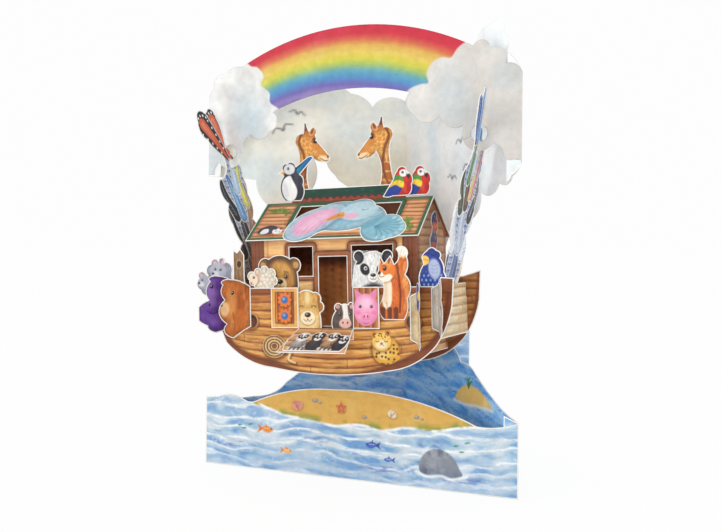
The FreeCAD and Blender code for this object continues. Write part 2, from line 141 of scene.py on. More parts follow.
def nearest(u, v, a, b):
    # distance of each point to the nearest of the segments a-b; a tile only looks at the segments
    # that can be nearest to some point in it
    best = np.full(len(u), 1e9)
    d = b - a
    length2 = np.maximum((d * d).sum(1), 1e-12)

    def span(pu, pv, k):
        t = np.clip(((pu - a[k, 0]) * d[k, 0] + (pv - a[k, 1]) * d[k, 1]) / length2[k], 0, 1)
        return np.hypot(pu - a[k, 0] - t * d[k, 0], pv - a[k, 1] - t * d[k, 1])

    for own in tiles(u, v):
        pu, pv = u[own], v[own]
        cu, cv = (pu.min() + pu.max()) / 2, (pv.min() + pv.max()) / 2
        reach = np.hypot(pu - cu, pv - cv).max()
        far = span(cu, cv, slice(None))
        close = np.flatnonzero(far <= far.min() + 2 * reach + 1e-9)
        best[own] = span(pu[:, None], pv[:, None], close).min(1)
    return best


def inside(u, v, a, b):
    # even-odd rule: a point is inside if a ray to the right crosses the segments an odd number of times
    odd = np.zeros(len(u), bool)
    run = np.where(np.abs(b[:, 1] - a[:, 1]) < 1e-12, 1e-12, b[:, 1] - a[:, 1])
    low, high = np.minimum(a[:, 1], b[:, 1]), np.maximum(a[:, 1], b[:, 1])
    right = np.maximum(a[:, 0], b[:, 0])
    for own in tiles(u, v):
        pu, pv = u[own, None], v[own, None]
        k = np.flatnonzero((high >= pv.min()) & (low <= pv.max()) & (right >= pu.min()))
        spans = (a[k, 1] > pv) != (b[k, 1] > pv)
        cross = a[k, 0] + (pv - a[k, 1]) * (b[k, 0] - a[k, 0]) / run[k]
        odd[own] = (spans & (cross > pu)).sum(1) % 2 == 1
    return odd


def smoothLine(points, closed=False):
    # Catmull-Rom curve through the points, as a fine polyline
    p = np.array(points, float)
    ring = np.vstack((p[-1], p, p[:2])) if closed else np.vstack((2 * p[0] - p[1], p, 2 * p[-1] - p[-2]))
    t = np.linspace(0, 1, pattern["curveSteps"], endpoint=False)[:, None, None]
    p0, p1, p2, p3 = ring[:-3], ring[1:-2], ring[2:-1], ring[3:]
    curve = 0.5 * (2 * p1 + (p2 - p0) * t + (2 * p0 - 5 * p1 + 4 * p2 - p3) * t ** 2
                   + (3 * p1 - p0 - 3 * p2 + p3) * t ** 3)
    line = curve.transpose(1, 0, 2).reshape(-1, p.shape[1])
    return np.vstack((line, line[:1] if closed else p[-1:]))


class Face:
    # one printed face: its points as u (right) and v (up), their distance to the cut and their colour

    def __init__(self, place, normal, cut):
        self.place, self.normal, self.cut = place, normal, cut
        flat = np.array((0.0, 1.0, 0.0)) if abs(normal[2]) > 0.99 else np.array((0.0, 0.0, 1.0))
        up = flat - normal * (flat @ normal)
        up /= np.linalg.norm(up)
        across = np.cross(up, normal)
        across *= 1 if across @ (1, 0.2, 0) > 0 else -1
        self.u, self.v = place @ across, place @ up
        self.rgb = np.ones((len(place), 3))

    def centre(self):
        # puts the middle of the foot at 0, 0
        self.u = self.u - (self.u.max() + self.u.min()) / 2
        self.v = self.v - self.v.min()

    def lay(self, amount, colour):
        # a coat of colour: each point moves that share of the way to it
        self.rgb += (np.array(colour, float) / 255 - self.rgb) * np.clip(amount, 0, 1)[:, None]

    def fill(self, colour):
        # one flat coat of colour on the whole face
        self.lay(np.ones(len(self.u)), colour)

    def cloud(self, colour, amount, size, seed, low=0.0, high=0.7, mask=1.0):
        # soft patches: where a wash of the given size, or width and height, rises from low to high
        wide, tall = size if isinstance(size, tuple) else (size, size)
        self.lay(mask * amount * step(low, high, wash(self.u / wide, self.v / tall, 1, seed)), colour)

    def cover(self, mask, colour, *cloud):
        # a colour with soft patches of another on it, both only where the mask is
        self.lay(mask, colour)
        self.cloud(*cloud, mask=mask)

    def dab(self, colour, amount, *shape, **more):
        # an oval of colour
        self.lay(amount * self.oval(*shape, **more), colour)

    def line(self, colour, amount, *shape):
        # a stroke of colour
        self.lay(amount * self.stroke(*shape), colour)

    def area(self, colour, amount, *shape):
        # a patch of colour
        self.lay(amount * self.patch(*shape), colour)

    def light(self, factor):
        # brightens or darkens: every channel times the factor
        self.rgb *= np.broadcast_to(factor, self.u.shape)[:, None]

    def near(self, low, high):
        # numbers of the points in a box from low to high
        return np.flatnonzero((self.u > low[0]) & (self.u < high[0]) & (self.v > low[1]) & (self.v < high[1]))

    def oval(self, x, y, rx, ry=None, turn=0, soft=0.3):
        # 1 inside an ellipse, fading over soft millimetres at its edge
        ry = rx if ry is None else ry
        c, s = cos(radians(turn)), sin(radians(turn))
        a, b = self.u - x, self.v - y
        r = np.hypot((a * c + b * s) / rx, (b * c - a * s) / ry)
        return fall(-soft / 2, soft / 2, (r - 1) * min(rx, ry))

    def stroke(self, points, width, soft=0.25, end=None):
        # 1 within half the width of a smooth line through the points; the width runs to end along it
        line = smoothLine(points)
        end = width if end is None else end
        reach = max(width, end) / 2 + soft
        mask = np.zeros(len(self.u))
        idx = self.near(line.min(0) - reach, line.max(0) + reach)
        if len(idx):
            a, b = line[:-1], line[1:]
            d = b - a
            pu, pv = self.u[idx, None], self.v[idx, None]
            t = ((pu - a[:, 0]) * d[:, 0] + (pv - a[:, 1]) * d[:, 1]) / np.maximum((d * d).sum(1), 1e-12)
            t = np.clip(t, 0, 1)
            r = np.hypot(pu - a[:, 0] - t * d[:, 0], pv - a[:, 1] - t * d[:, 1])
            half = (width + (end - width) * (np.arange(len(a)) + t) / len(a)) / 2
            mask[idx] = fall(-soft / 2, soft / 2, (r - half).min(1))
        return mask

    def patch(self, points, soft=0.3, smooth=True):
        # 1 inside a closed line through the points
        line = smoothLine(points, True) if smooth else np.array(list(points) + [points[0]], float)
        mask = np.zeros(len(self.u))
        idx = self.near(line.min(0) - soft, line.max(0) + soft)
        if len(idx):
            u, v, a, b = self.u[idx], self.v[idx], line[:-1], line[1:]
            depth = nearest(u, v, a, b) * np.where(inside(u, v, a, b), 1, -1)
            mask[idx] = step(-soft / 2, soft / 2, depth)
        return mask

    def grain(self, amount, length, width, turn, seed):
        # long streaks: noise stretched along one direction
        c, s = cos(radians(turn)), sin(radians(turn))
        a, b = self.u * c + self.v * s, self.v * c - self.u * s
        self.light(1 + amount * wash(a / length, b / width, 1, seed))

    def mottle(self, amount, size, seed):
        # soft changes of brightness
        self.light(1 + amount * wash(self.u, self.v, size, seed))

    def keep(self, before, mask):
        # goes back to the colours before where the mask is 0
        self.rgb = before + (self.rgb - before) * mask[:, None]

    def edgeShade(self, amount, width):
        # painted shade: darker towards the cut, so the figure looks rounded
        self.light(1 - amount * np.exp(-self.cut / width))


def planes(points, tris):
    # flat stretches: each triangle takes the plane of the largest triangle that it lies in
    a, b, c = points[tris[:, 0]], points[tris[:, 1]], points[tris[:, 2]]
    cross = np.cross(b - a, c - a)
    area = np.linalg.norm(cross, axis=1) / 2
    normal = cross / np.maximum(2 * area, 1e-12)[:, None]
    offset = (normal * a).sum(1)
    plane = np.full(len(tris), -1)
    normals = []
    for t in np.argsort(-area):
        if plane[t] < 0:
            level = np.abs(points[tris] @ normal[t] - offset[t]).max(1) < card["level"]
            same = (plane < 0) & (normal @ normal[t] > card["parallel"]) & level
            same[t] = True
            plane[same] = len(normals)
            normals.append(normal[t])
    return plane, np.array(normals), area


def readSolid(node):
    # the CAD solid in millimetres, its doubles merged: points and triangles
    source = frame["nodes"][node].data
    raw = np.empty(len(source.vertices) * 3)
    source.vertices.foreach_get("co", raw)
    source.calc_loop_triangles()
    tris = np.empty(len(source.loop_triangles) * 3, int)
    source.loop_triangles.foreach_get("vertices", tris)
    points, back = np.unique(np.round(raw.reshape(-1, 3) * 1000, 4), axis=0, return_inverse=True)
    tris = back.ravel()[tris].reshape(-1, 3)
    return points, tris[(tris != np.roll(tris, 1, axis=1)).all(1)]


class Outline:
    # the edges where two flat faces meet, each divided into equal steps, the same for both its faces

    def __init__(self, points, tris, plane, longest):
        count = len(points)
        start, finish = tris.ravel(), np.roll(tris, -1, axis=1).ravel()
        owner = np.repeat(plane, 3)
        code, twin = start * count + finish, finish * count + start
        order = np.argsort(code)
        spot = order[np.minimum(np.searchsorted(code[order], twin), len(code) - 1)]
        other = np.where(code[spot] == twin, owner[spot], -1)      # the face on each edge's other side
        rim = other != owner
        start, finish = start[rim], finish[rim]
        self.start, self.owner, self.other = start, owner[rim], other[rim]
        self.length = np.linalg.norm(points[start] - points[finish], axis=1)
        pair = np.minimum(start, finish) * count + np.maximum(start, finish)
        edge, which = np.unique(pair, return_inverse=True)
        self.which, self.low, self.high = which.ravel(), edge // count, edge % count
        a, b = points[self.low], points[self.high]
        self.parts = np.maximum(1, np.ceil(np.linalg.norm(b - a, axis=1) / longest - 1e-9)).astype(int)
        self.first = count + np.cumsum(self.parts - 1) - (self.parts - 1)
        rep = np.repeat(np.arange(len(edge)), self.parts - 1)
        along = (np.arange(len(rep)) - (self.first - count)[rep] + 1) / self.parts[rep]
        self.points = np.vstack((points, a[rep] + (b - a)[rep] * along[:, None]))

    def chain(self, mine):
        # the short segments of these edges, in their own direction, and the edge that each came from
        e = self.which[mine]
        n = self.parts[e]
        src = np.repeat(np.arange(len(e)), n)
        k = np.arange(len(src)) - np.repeat(np.cumsum(n) - n, n)
        e = e[src]
        p = np.where(k == 0, self.low[e], self.first[e] + k - 1)
        q = np.where(k == self.parts[e] - 1, self.high[e], self.first[e] + k)
        forward = self.start[mine][src] == self.low[e]
        return np.where(forward, p, q), np.where(forward, q, p), src


def gridPoints(flat, a, b, fine):
    # staggered rows of points, fine apart, inside the outline a-b
    low, high = flat.min(0), flat.max(0)
    rows = np.arange(low[1] + fine / 2, high[1], fine * card["rowStep"])
    cols = np.arange(low[0] + fine / 4, high[0], fine)
    gu = (cols[None, :] + (np.arange(len(rows)) % 2)[:, None] * fine / 2).ravel()
    gv = np.repeat(rows, len(cols))
    good = inside(gu, gv, a, b) & (nearest(gu, gv, a, b) > fine * card["clear"])
    return np.column_stack((gu, gv))[good]


def borderPoints(a, b, cutA, cutB, border):
    # points along the cut, just outside and just inside the border's edge
    way = (cutB - cutA) / np.linalg.norm(cutB - cutA, axis=1)[:, None]
    inward = np.column_stack((-way[:, 1], way[:, 0]))
    rings = []
    for r in (border - card["borderSoft"], border + card["borderSoft"]):
        for t in (0.0, 0.5):
            spot = cutA + (cutB - cutA) * t + inward * r
            far = nearest(spot[:, 0], spot[:, 1], cutA, cutB) > r - 0.01
            rings.append(spot[inside(spot[:, 0], spot[:, 1], a, b) & far])
    return np.vstack(rings)


def triangulate(flat, fill, sa, sb):
    # Delaunay triangles inside the outline; each corner's number in the outline, or -1
    coords = [Vector(c) for c in np.vstack((flat, fill)).tolist()]
    edges = list(zip(sa.tolist(), sb.tolist()))
    out, _, corners, origins, _, _ = delaunay_2d_cdt(coords, edges, [], 1, 1e-7)
    out, corners = np.array([tuple(c) for c in out]), np.array(corners)
    middle = out[corners].mean(1)
    origin = np.array([o[0] if o else -1 for o in origins])
    corners = corners[inside(middle[:, 0], middle[:, 1], flat[sa], flat[sb])]
    return out, corners, np.where(origin < len(flat), origin, -1)


def paintFace(spots, normal, cut, painter, border):
    # the painter's colours, then white within the border's width of the cut
    face = Face(spots, normal, cut)
    painter(face)
    rgb = np.clip(face.rgb, 0, 1)
    if border:
        white = fall(border - card["borderSoft"], border + card["borderSoft"], cut)
        rgb = rgb + (np.array(card["borderWhite"]) - rgb) * white[:, None]
    return rgb


def skin(node, grid, choose, inArk):
    # the CAD solid with its long outline edges divided, and each wide flat face filled with a
    # triangular grid; choose gives each wide face its side's name and its painter
    points, tris = readSolid(node)
    plane, normals, area = planes(points, tris)
    outline = Outline(points, tris, plane, grid["outline"] * card["edgeStep"])
    points, border = outline.points, grid["border"]
    rimLength = np.bincount(outline.owner, outline.length, len(normals))
    wide = np.bincount(plane, area, len(normals)) > rimLength * card["thick"] * card["wide"]
    faces, printed, colours = [], [], []
    for k, n in enumerate(normals):
        mine = np.flatnonzero(outline.owner == k)
        if not wide[k] and (outline.parts[outline.which[mine]] == 1).all():
            faces.append(tris[plane == k])
            printed.append(np.zeros(len(faces[-1]), bool))
            colours.append(np.ones((len(faces[-1]) * 3, 3)))
            continue
        p, q, src = outline.chain(mine)
        axisU = np.cross((0.0, 0.0, 1.0) if abs(n[2]) < 0.9 else (0.0, 1.0, 0.0), n)
        axisU /= np.linalg.norm(axisU)
        axisV = np.cross(n, axisU)
        ids = np.unique(np.concatenate((p, q)))
        flat = np.column_stack((points[ids] @ axisU, points[ids] @ axisV))
        sa, sb = np.searchsorted(ids, p), np.searchsorted(ids, q)
        a, b = flat[sa], flat[sb]
        cutting = ~wide[outline.other[mine][src]]
        fill = np.empty((0, 2))
        if wide[k]:
            place = toArk if inArk else (lambda spots: spots)
            normal = turnToArk(n) if inArk else n
            side, painter = choose(normal, place(points[ids]).mean(0))
            fine = grid[side]
            fill = gridPoints(flat, a, b, fine)
            if border and cutting.any():
                away = nearest(fill[:, 0], fill[:, 1], a[cutting], b[cutting])
                fill = np.vstack((fill[np.abs(away - border) > card["borderSoft"] + fine * 0.3],
                                  borderPoints(a, b, a[cutting], b[cutting], border)))
        out, corners, origin = triangulate(flat, fill, sa, sb)
        fresh = origin < 0
        number = np.where(fresh, len(points) + np.cumsum(fresh) - 1, ids[origin])
        added = out[fresh, 0, None] * axisU + out[fresh, 1, None] * axisV + (n @ points[ids[0]]) * n
        points = np.vstack((points, added))
        faces.append(number[corners])
        printed.append(np.full(len(corners), bool(wide[k])))
        if wide[k]:
            cut = np.full(len(out), card["noCut"])
            if cutting.any():
                cut = nearest(out[:, 0], out[:, 1], a[cutting], b[cutting])
            colours.append(paintFace(place(points[number]), normal, cut, painter, border)[corners.ravel()])
        else:
            colours.append(np.ones((len(corners) * 3, 3)))
    return points, np.vstack(faces), np.concatenate(printed), np.vstack(colours)


def piece(node, body, slotName, grid, choose):
    # one painted card piece in place of its plain CAD solid
    points, faces, printed, colours = skin(node, grid, choose, body == "ark")
    mesh = bpy.data.meshes.new(node + "_print")
    mesh.vertices.add(len(points))
    mesh.vertices.foreach_set("co", (points / 1000).ravel())
    mesh.loops.add(len(faces) * 3)
    mesh.loops.foreach_set("vertex_index", faces.ravel())
    mesh.polygons.add(len(faces))
    mesh.polygons.foreach_set("loop_start", np.arange(len(faces)) * 3)
    mesh.materials.append(printMaterials[slotName])
    mesh.materials.append(edgeMaterial)
    mesh.polygons.foreach_set("material_index", np.where(printed, 0, 1))
    paper = mesh.color_attributes.new("print", "BYTE_COLOR", "CORNER")
    paper.data.foreach_set("color_srgb", np.column_stack((colours, np.ones(len(colours)))).ravel())
    mesh.update()
    mesh.validate()
    obj = addObject(node + "_card", mesh)
    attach(obj, body)
    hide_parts(node)
    print(f"{node}: {len(faces)} triangles")


finish = {
    "ink": 0.86,            # strength of the print
    "wallInk": 1.0,         # and on the rear wall: stronger, as painted light that makes up for the shade inside the card
    "paperTone": 0.05,      # how much the pigment varies from place to place
    "fibreTone": 0.045,     # and at the scale of the paper's fibres
    "rough": 0.46,
    "roughLess": 0.07,      # the fibres change the roughness by this much down
    "roughMore": 0.09,      # and up
    "gloss": 0.35,
    "relief": 0.12,         # strength of the paper's tooth
    "tooth": 0.00004,       # and its height in metres
    "coreRough": 0.8,
    "core": ((0.3, (0.78, 0.76, 0.71, 1)), (0.7, (0.90, 0.88, 0.84, 1))),     # tones of the cut edge
}


def feed(tree, node, entries):
    # each entry is a plain value, or the output of another node to link
    for key, value in entries.items():
        if isinstance(value, bpy.types.NodeSocket):
            tree.links.new(value, node.inputs[key])
        else:
            node.inputs[key].default_value = value


def addNode(tree, kind, entries=None, **settings):
    # a shader node with its entries fed and its settings made
    node = tree.nodes.new("ShaderNode" + kind)
    for key, value in settings.items():
        setattr(node, key, value)
    feed(tree, node, entries or {})
    return node


def addMath(tree, operation, first, second):
    return addNode(tree, "Math", {0: first, 1: second}, operation=operation).outputs[0]


def newMaterial(name):
    material = bpy.data.materials.new(name)
    material.use_nodes = True
    return material, material.node_tree, material.node_tree.nodes["Principled BSDF"]


def addObject(name, data):
    obj = bpy.data.objects.new(name, data)
    bpy.context.scene.collection.objects.link(obj)
    return obj


grids = {       # step along the outline and over each side of a piece, and the width of its white border
    "front_arch": {"outline": 0.55, "front": 0.66, "back": 2.0, "border": 0.0},
    "front_sea": {"outline": 0.45, "front": 0.54, "back": 2.0, "border": 0.55},
    "rear_wall": {"outline": 1.0, "front": 1.1, "back": 2.2, "border": 0.5},
    "strut": {"outline": 1.0, "front": 1.2, "back": 1.2, "border": 0.5},
    "hull_front": {"outline": 0.4, "front": 0.44, "back": 1.3, "border": 0.5},
    "hull_rear": {"outline": 0.6, "front": 0.85, "back": 0.85, "border": 0.5},
    "deck": {"outline": 0.9, "front": 0.9, "back": 0.9, "border": 0.4},
    "cabin": {"outline": 0.66, "front": 0.47, "end": 0.8, "back": 0.9, "inside": 2.2, "border": 0.4},
    "roof": {"outline": 0.4, "front": 0.44, "back": 0.9, "under": 1.8, "border": 0.45},
    "ridge_fin": {"outline": 0.4, "front": 0.5, "back": 0.5, "border": 0.45},
    "gate": {"outline": 0.33, "front": 0.33, "back": 0.7, "border": 0.45},
    "ramp": {"outline": 0.4, "top": 0.4, "under": 0.8, "border": 0.45},
    "arm": {"outline": 0.45, "right": 0.44, "left": 0.66, "foot": 0.8, "border": 0.45},
    "figure": {"outline": 0.36, "front": 0.37, "end": 0.55, "back": 1.0, "border": 0.5},
}


def frontAndBack(front, back):
    # one painter for the faces towards the front, one for the others
    return lambda normal, middle: ("front", front) if normal[1] < 0 else ("back", back)


def printMaterial(name, ink, streak):
    # colour = painted colour x ink x (1 + pigment noise) x (1 + fibre noise) x (1 + streaks along the wood);
    # roughness and a fine relief follow the fibres
    material, tree, shader = newMaterial(name)
    feed(tree, shader, {"Roughness": finish["rough"], "Specular IOR Level": finish["gloss"]})
    paint = addNode(tree, "Attribute", attribute_name="print").outputs["Color"]
    place = addNode(tree, "TexCoord").outputs["Object"]

    def speckle(scale, detail, amount, stretch=None, middle=1.0):
        # a factor around its middle value, that far each way
        tex = addNode(tree, "TexNoise", {"Scale": scale, "Detail": detail})
        source = place
        if stretch:
            source = addNode(tree, "Mapping", {"Scale": stretch, "Vector": place}).outputs["Vector"]
        feed(tree, tex, {"Vector": source})
        reach = {"From Min": 0.3, "From Max": 0.7, "To Min": middle - amount, "To Max": middle + amount}
        ramp = addNode(tree, "MapRange", {**reach, "Value": tex.outputs["Fac"]})
        return tex.outputs["Fac"], ramp.outputs["Result"]

    _, pigment = speckle(260, 3, finish["paperTone"], middle=ink)
    fibre, fine = speckle(2600, 2, finish["fibreTone"])
    factor = addMath(tree, "MULTIPLY", pigment, fine)
    if streak:
        _, grain = speckle(420, 4, *streak)
        factor = addMath(tree, "MULTIPLY", factor, grain)
    tint = addNode(tree, "VectorMath", {0: paint, "Scale": factor}, operation="SCALE")
    feed(tree, shader, {"Base Color": tint.outputs["Vector"]})
    low, high = finish["rough"] - finish["roughLess"], finish["rough"] + finish["roughMore"]
    rough = addNode(tree, "MapRange", {"To Min": low, "To Max": high, "Value": fibre})
    bump = addNode(tree, "Bump", {"Strength": finish["relief"], "Distance": finish["tooth"], "Height": fibre})
    feed(tree, shader, {"Roughness": rough.outputs["Result"], "Normal": bump.outputs["Normal"]})
    return material


def cutEdgeMaterial():
    # bare white core of the card: pale, matt, with fine layers along the cut
    material, tree, shader = newMaterial("cut_edge")
    place = addNode(tree, "TexCoord").outputs["Object"]
    tex = addNode(tree, "TexNoise", {"Scale": 3000, "Vector": place})
    ramp = addNode(tree, "ValToRGB", {"Fac": tex.outputs["Fac"]})
    for stop, (spot, tone) in zip(ramp.color_ramp.elements, finish["core"]):
        stop.position, stop.color = spot, tone
    feed(tree, shader, {"Base Color": ramp.outputs["Color"], "Roughness": finish["coreRough"]})
    return material


streaks = {       # strength of the streaks on each print, and their scale along x, y and z
    "sky": None, "wall": None, "strut": None, "gate": None,
    "sea": (0.04, (0.2, 1, 1)),
    "hull": (0.10, (0.08, 1, 1)), "roof": (0.08, (0.08, 1, 1)), "fin": (0.08, (0.08, 1, 1)),
    "cabin": (0.07, (0.08, 1, 1)), "ramp": (0.07, (0.08, 1, 1)),
    "feather": (0.07, (1, 1, 0.15)), "figure": (0.06, (1, 1, 0.35)),
}
printMaterials = {}
for name, values in streaks.items():
    # the rear wall's print is brighter: painted light against the shade inside the card
    ink = finish["wallInk"] if name == "wall" else finish["ink"]
    printMaterials[name + "_print"] = printMaterial(name + "_print", ink, values)
edgeMaterial = cutEdgeMaterial()
print("finishes made")


wood = {      # colour underneath, height and length of the boards, light and dark of their grain (also the painted highlight and shade of each board)
    "hull": ((206, 140, 68), 4.6, 62, (254, 202, 116), (112, 52, 24)),
    "hullInside": ((186, 120, 62), 4.6, 30, (214, 156, 92), (104, 52, 26)),
    "deck": ((182, 118, 66), 3.4, 26, (216, 158, 98), (108, 58, 30)),
    "cabin": ((244, 194, 126), 10.5, 70, (254, 214, 150), (166, 98, 54)),
    "cabinEnd": ((206, 146, 88), 4.4, 40, (236, 188, 124), (118, 66, 38)),
    "cabinInside": ((196, 112, 62), 5.2, 60, (238, 160, 92), (92, 46, 30)),
    "roof": ((230, 162, 110), 3.3, 46, (246, 194, 140), (146, 78, 46)),
    "gateLeft": ((196, 104, 46), 3.9, 40, (234, 158, 84), (112, 50, 26)),
    "gateRight": ((178, 106, 60), 3.9, 40, (222, 152, 92), (112, 56, 30)),
    "gateBack": ((186, 120, 66), 3.9, 40, (222, 160, 98), (112, 60, 32)),
    "ramp": ((218, 158, 102), 4.3, 30, (244, 200, 148), (140, 82, 48)),
    "family": ((214, 160, 108), 4.3, 30, (244, 200, 148), (140, 84, 50)),
    "endPanel": ((232, 208, 166), 4.8, 30, (248, 232, 198), (166, 122, 80)),
}


def planks(f, along, rise, kind, seed):
    # boards of the kind's height: each has its own tone, flowing grain, a soft dark seam of uneven width with
    # a painted highlight just below it and painted shade along the board's foot, and butt joints one length
    # apart, shifted board by board
    base, height, joint, light, dark = wood[kind]
    f.fill(base)
    tone = np.random.default_rng(seed).uniform(-1, 1, 64)
    wave = rise + 0.5 * wash(along / 26, rise / 9, 1, seed + 6, 2)
    row = np.floor(wave / height).astype(int)
    t = wave - row * height
    run = along / joint + 3 * tone[(row + 7) % 64]
    board = np.floor(run).astype(int)
    f.light(1 + 0.06 * tone[(row * 5 + board) % 64])
    shift = 5 * tone[(row + 3) % 64]
    flow = wave + 0.7 * wash(along / 8 + shift, wave / 3, 1, seed + 7, 2)
    f.light(1 + 0.10 * wash(along / 12 + shift, flow / 0.9 + 9 * shift, 1, seed + 1))
    f.lay(0.6 * step(0.1, 0.7, wash(along / 9 + shift, flow / 1.9, 1, seed + 2)), light)
    f.lay(0.4 * step(0.25, 0.8, wash(along / 12, flow / 0.8 + shift, 1, seed + 3)), dark)
    gap = np.minimum(t, height - t)
    seam = 0.16 + 0.2 * step(-0.3, 0.6, noise(along, rise, 7, seed + 4))
    f.lay(0.88 * fall(seam * 0.7, seam * 0.7 + 0.4, gap), dark)
    # painted shade along the foot of each board, just above its seam
    f.lay(0.38 * fall(0.5, 1.7, t), dark)
    # painted highlight along the top of each board, just below the seam above
    f.lay(0.45 * fall(0.4, 1.2, np.abs(height - t - 0.9)), light)
    end = np.minimum(run - board, board + 1 - run) * joint
    f.lay(0.55 * fall(0.1, 0.45, end), dark)


def cells(u, v, size, seed):
    # distance to the nearest and second nearest of scattered points, one in each square of the lattice
    n = pattern["lattice"]
    table = np.random.default_rng(seed).uniform(0.1, 0.9, (n, n, 2))
    i, j, fa, fb = lattice(u, v, size)
    near, far = np.full(len(u), 9.0), np.full(len(u), 9.0)
    for di in (-1, 0, 1):
        for dj in (-1, 0, 1):
            spot = table[(i + di) % n, (j + dj) % n]
            d = np.hypot(di + spot[:, 0] - fa, dj + spot[:, 1] - fb)
            far = np.minimum(far, np.maximum(near, d))
            near = np.minimum(near, d)
    return near * size, far * size


water = {      # pale, blue and deep water, foam, and the size of the waves
    "front": ((214, 224, 231), (152, 189, 216), (92, 142, 200), (247, 249, 250), 15),
    "frontBack": ((206, 220, 234), (168, 196, 222), (140, 176, 212), (238, 243, 247), 20),
    "rear": ((196, 226, 250), (132, 192, 246), (84, 150, 222), (248, 251, 253), 20),
    "rearBack": ((160, 194, 224), (110, 160, 208), (84, 136, 194), (236, 243, 248), 24),
    "strut": ((178, 206, 230), (140, 180, 218), (112, 158, 206), (226, 238, 247), 20),
}


def sea(f, kind, seed):
    # brushed waves: long crests bent by a slow sway; blue in the troughs, foam along the crests' backs
    pale, blue, deep, foam, size = water[kind]
    u, v = f.u, f.v
    sway = v + 0.26 * size * wash(u, v, size * 1.6, seed, 2)
    phase = sway / (size * 0.42) + 0.5 * wash(u / size, sway / (size * 0.5), 1, seed + 1, 2)
    trough = 0.5 + 0.5 * np.cos(2 * pi * phase)
    broken = wash(u / (size * 0.7), sway / (size * 0.3), 1, seed + 2)
    brush = wash(u / (size * 0.5), sway / (size * 0.05), 1, seed + 4)
    f.fill(pale)
    f.lay(step(-0.4, 0.5, broken + 0.5 * trough + 0.35 * brush) * 0.85, blue)
    f.lay(step(0.25, 0.95, broken + 0.45 * trough + 0.4 * brush) * 0.75, deep)
    back = step(0.55, 0.98, np.cos(2 * pi * (phase + 0.36)))
    f.lay(back * step(-0.45, 0.3, brush + 0.6 * broken + 0.1) * 0.85, foam)
    spray = wash(u / (size * 0.16), sway / (size * 0.07), 1, seed + 5, 2)
    f.lay(back * step(0.1, 0.5, spray) * 0.6, foam)
    f.lay(0.45 * step(0.1, 0.8, wash(u, v, size * 2, seed + 6)), foam)
    f.light(1 + 0.05 * brush)


def sky(f, base, blue, warm, seed):
    # cloud wash: base with soft blue and warm patches and a little paper texture
    f.fill(base)
    f.cloud(blue, 0.55, 34, seed, 0.05, 0.7)
    f.cloud(warm, 0.45, 30, seed + 5, 0.05, 0.7)
    f.cloud((255, 255, 255), 0.4, 12, seed + 9, 0.2, 0.8)
    f.mottle(0.02, 5, seed + 2)


def openEye(f, x, y, r):
    # dark ring, black pupil and a white glint up to the left
    f.dab((70, 45, 30), 0.5, x, y, r * 1.25)
    f.dab((22, 16, 14), 1, x, y, r, soft=0.2)
    f.dab((255, 255, 255), 1, x - r * 0.3, y + r * 0.35, r * 0.32, soft=0.15)


def shutEye(f, x, y, r, sag=-0.5):
    # a lid line that sags by that share of its half width
    f.line((40, 26, 20), 1, [(x - r, y), (x, y + sag * r), (x + r, y)], 0.34, 0.2)


def fur(f, amount, turn, seed):
    # long hair streaks, and shorter ones turned by 12 degrees
    f.grain(amount, 2.2, 0.42, turn, seed)
    f.grain(amount * 0.6, 0.9, 0.25, turn + 12, seed + 5)


rainbow = {
    "colours": ((0.0, (142, 124, 180)), (0.08, (112, 102, 174)), (0.2, (84, 146, 196)),
                (0.3, (102, 168, 182)), (0.39, (166, 192, 106)), (0.48, (214, 206, 74)),
                (0.58, (228, 201, 96)), (0.69, (222, 177, 86)), (0.78, (213, 106, 74)),
                (0.88, (206, 50, 66)), (1.0, (206, 42, 66))),
    "outerArc": (-2.0, 99.7, 147.8),      # centre x, z and radius
    "innerArc": (-8.9, 85.5, 127.5),
    "leftEnd": ((-74, 238), (-66, 230), (-61, 228.5), (-57, 223.5), (-58.5, 218.5), (-53, 213.5),
                (-52.5, 208), (-46.5, 203.5), (-48, 197)),
    "rightEnd": ((27, 197), (27.5, 205), (31.5, 210.5), (38, 213), (42.5, 213.5), (41.5, 218.5),
                 (44.5, 224), (50, 226.5), (55, 226), (59, 231), (67, 236)),
}
# middle and radius of each painted puff of cloud
cloudPuffs = ((-88, 178, 14), (-82, 203, 13), (-66, 190, 13), (-73, 219, 11), (-61, 205, 9), (86, 176, 15),
              (88, 201, 15), (58, 200, 14), (42, 204, 10), (80, 220, 13), (58, 217, 12), (70, 234, 10))


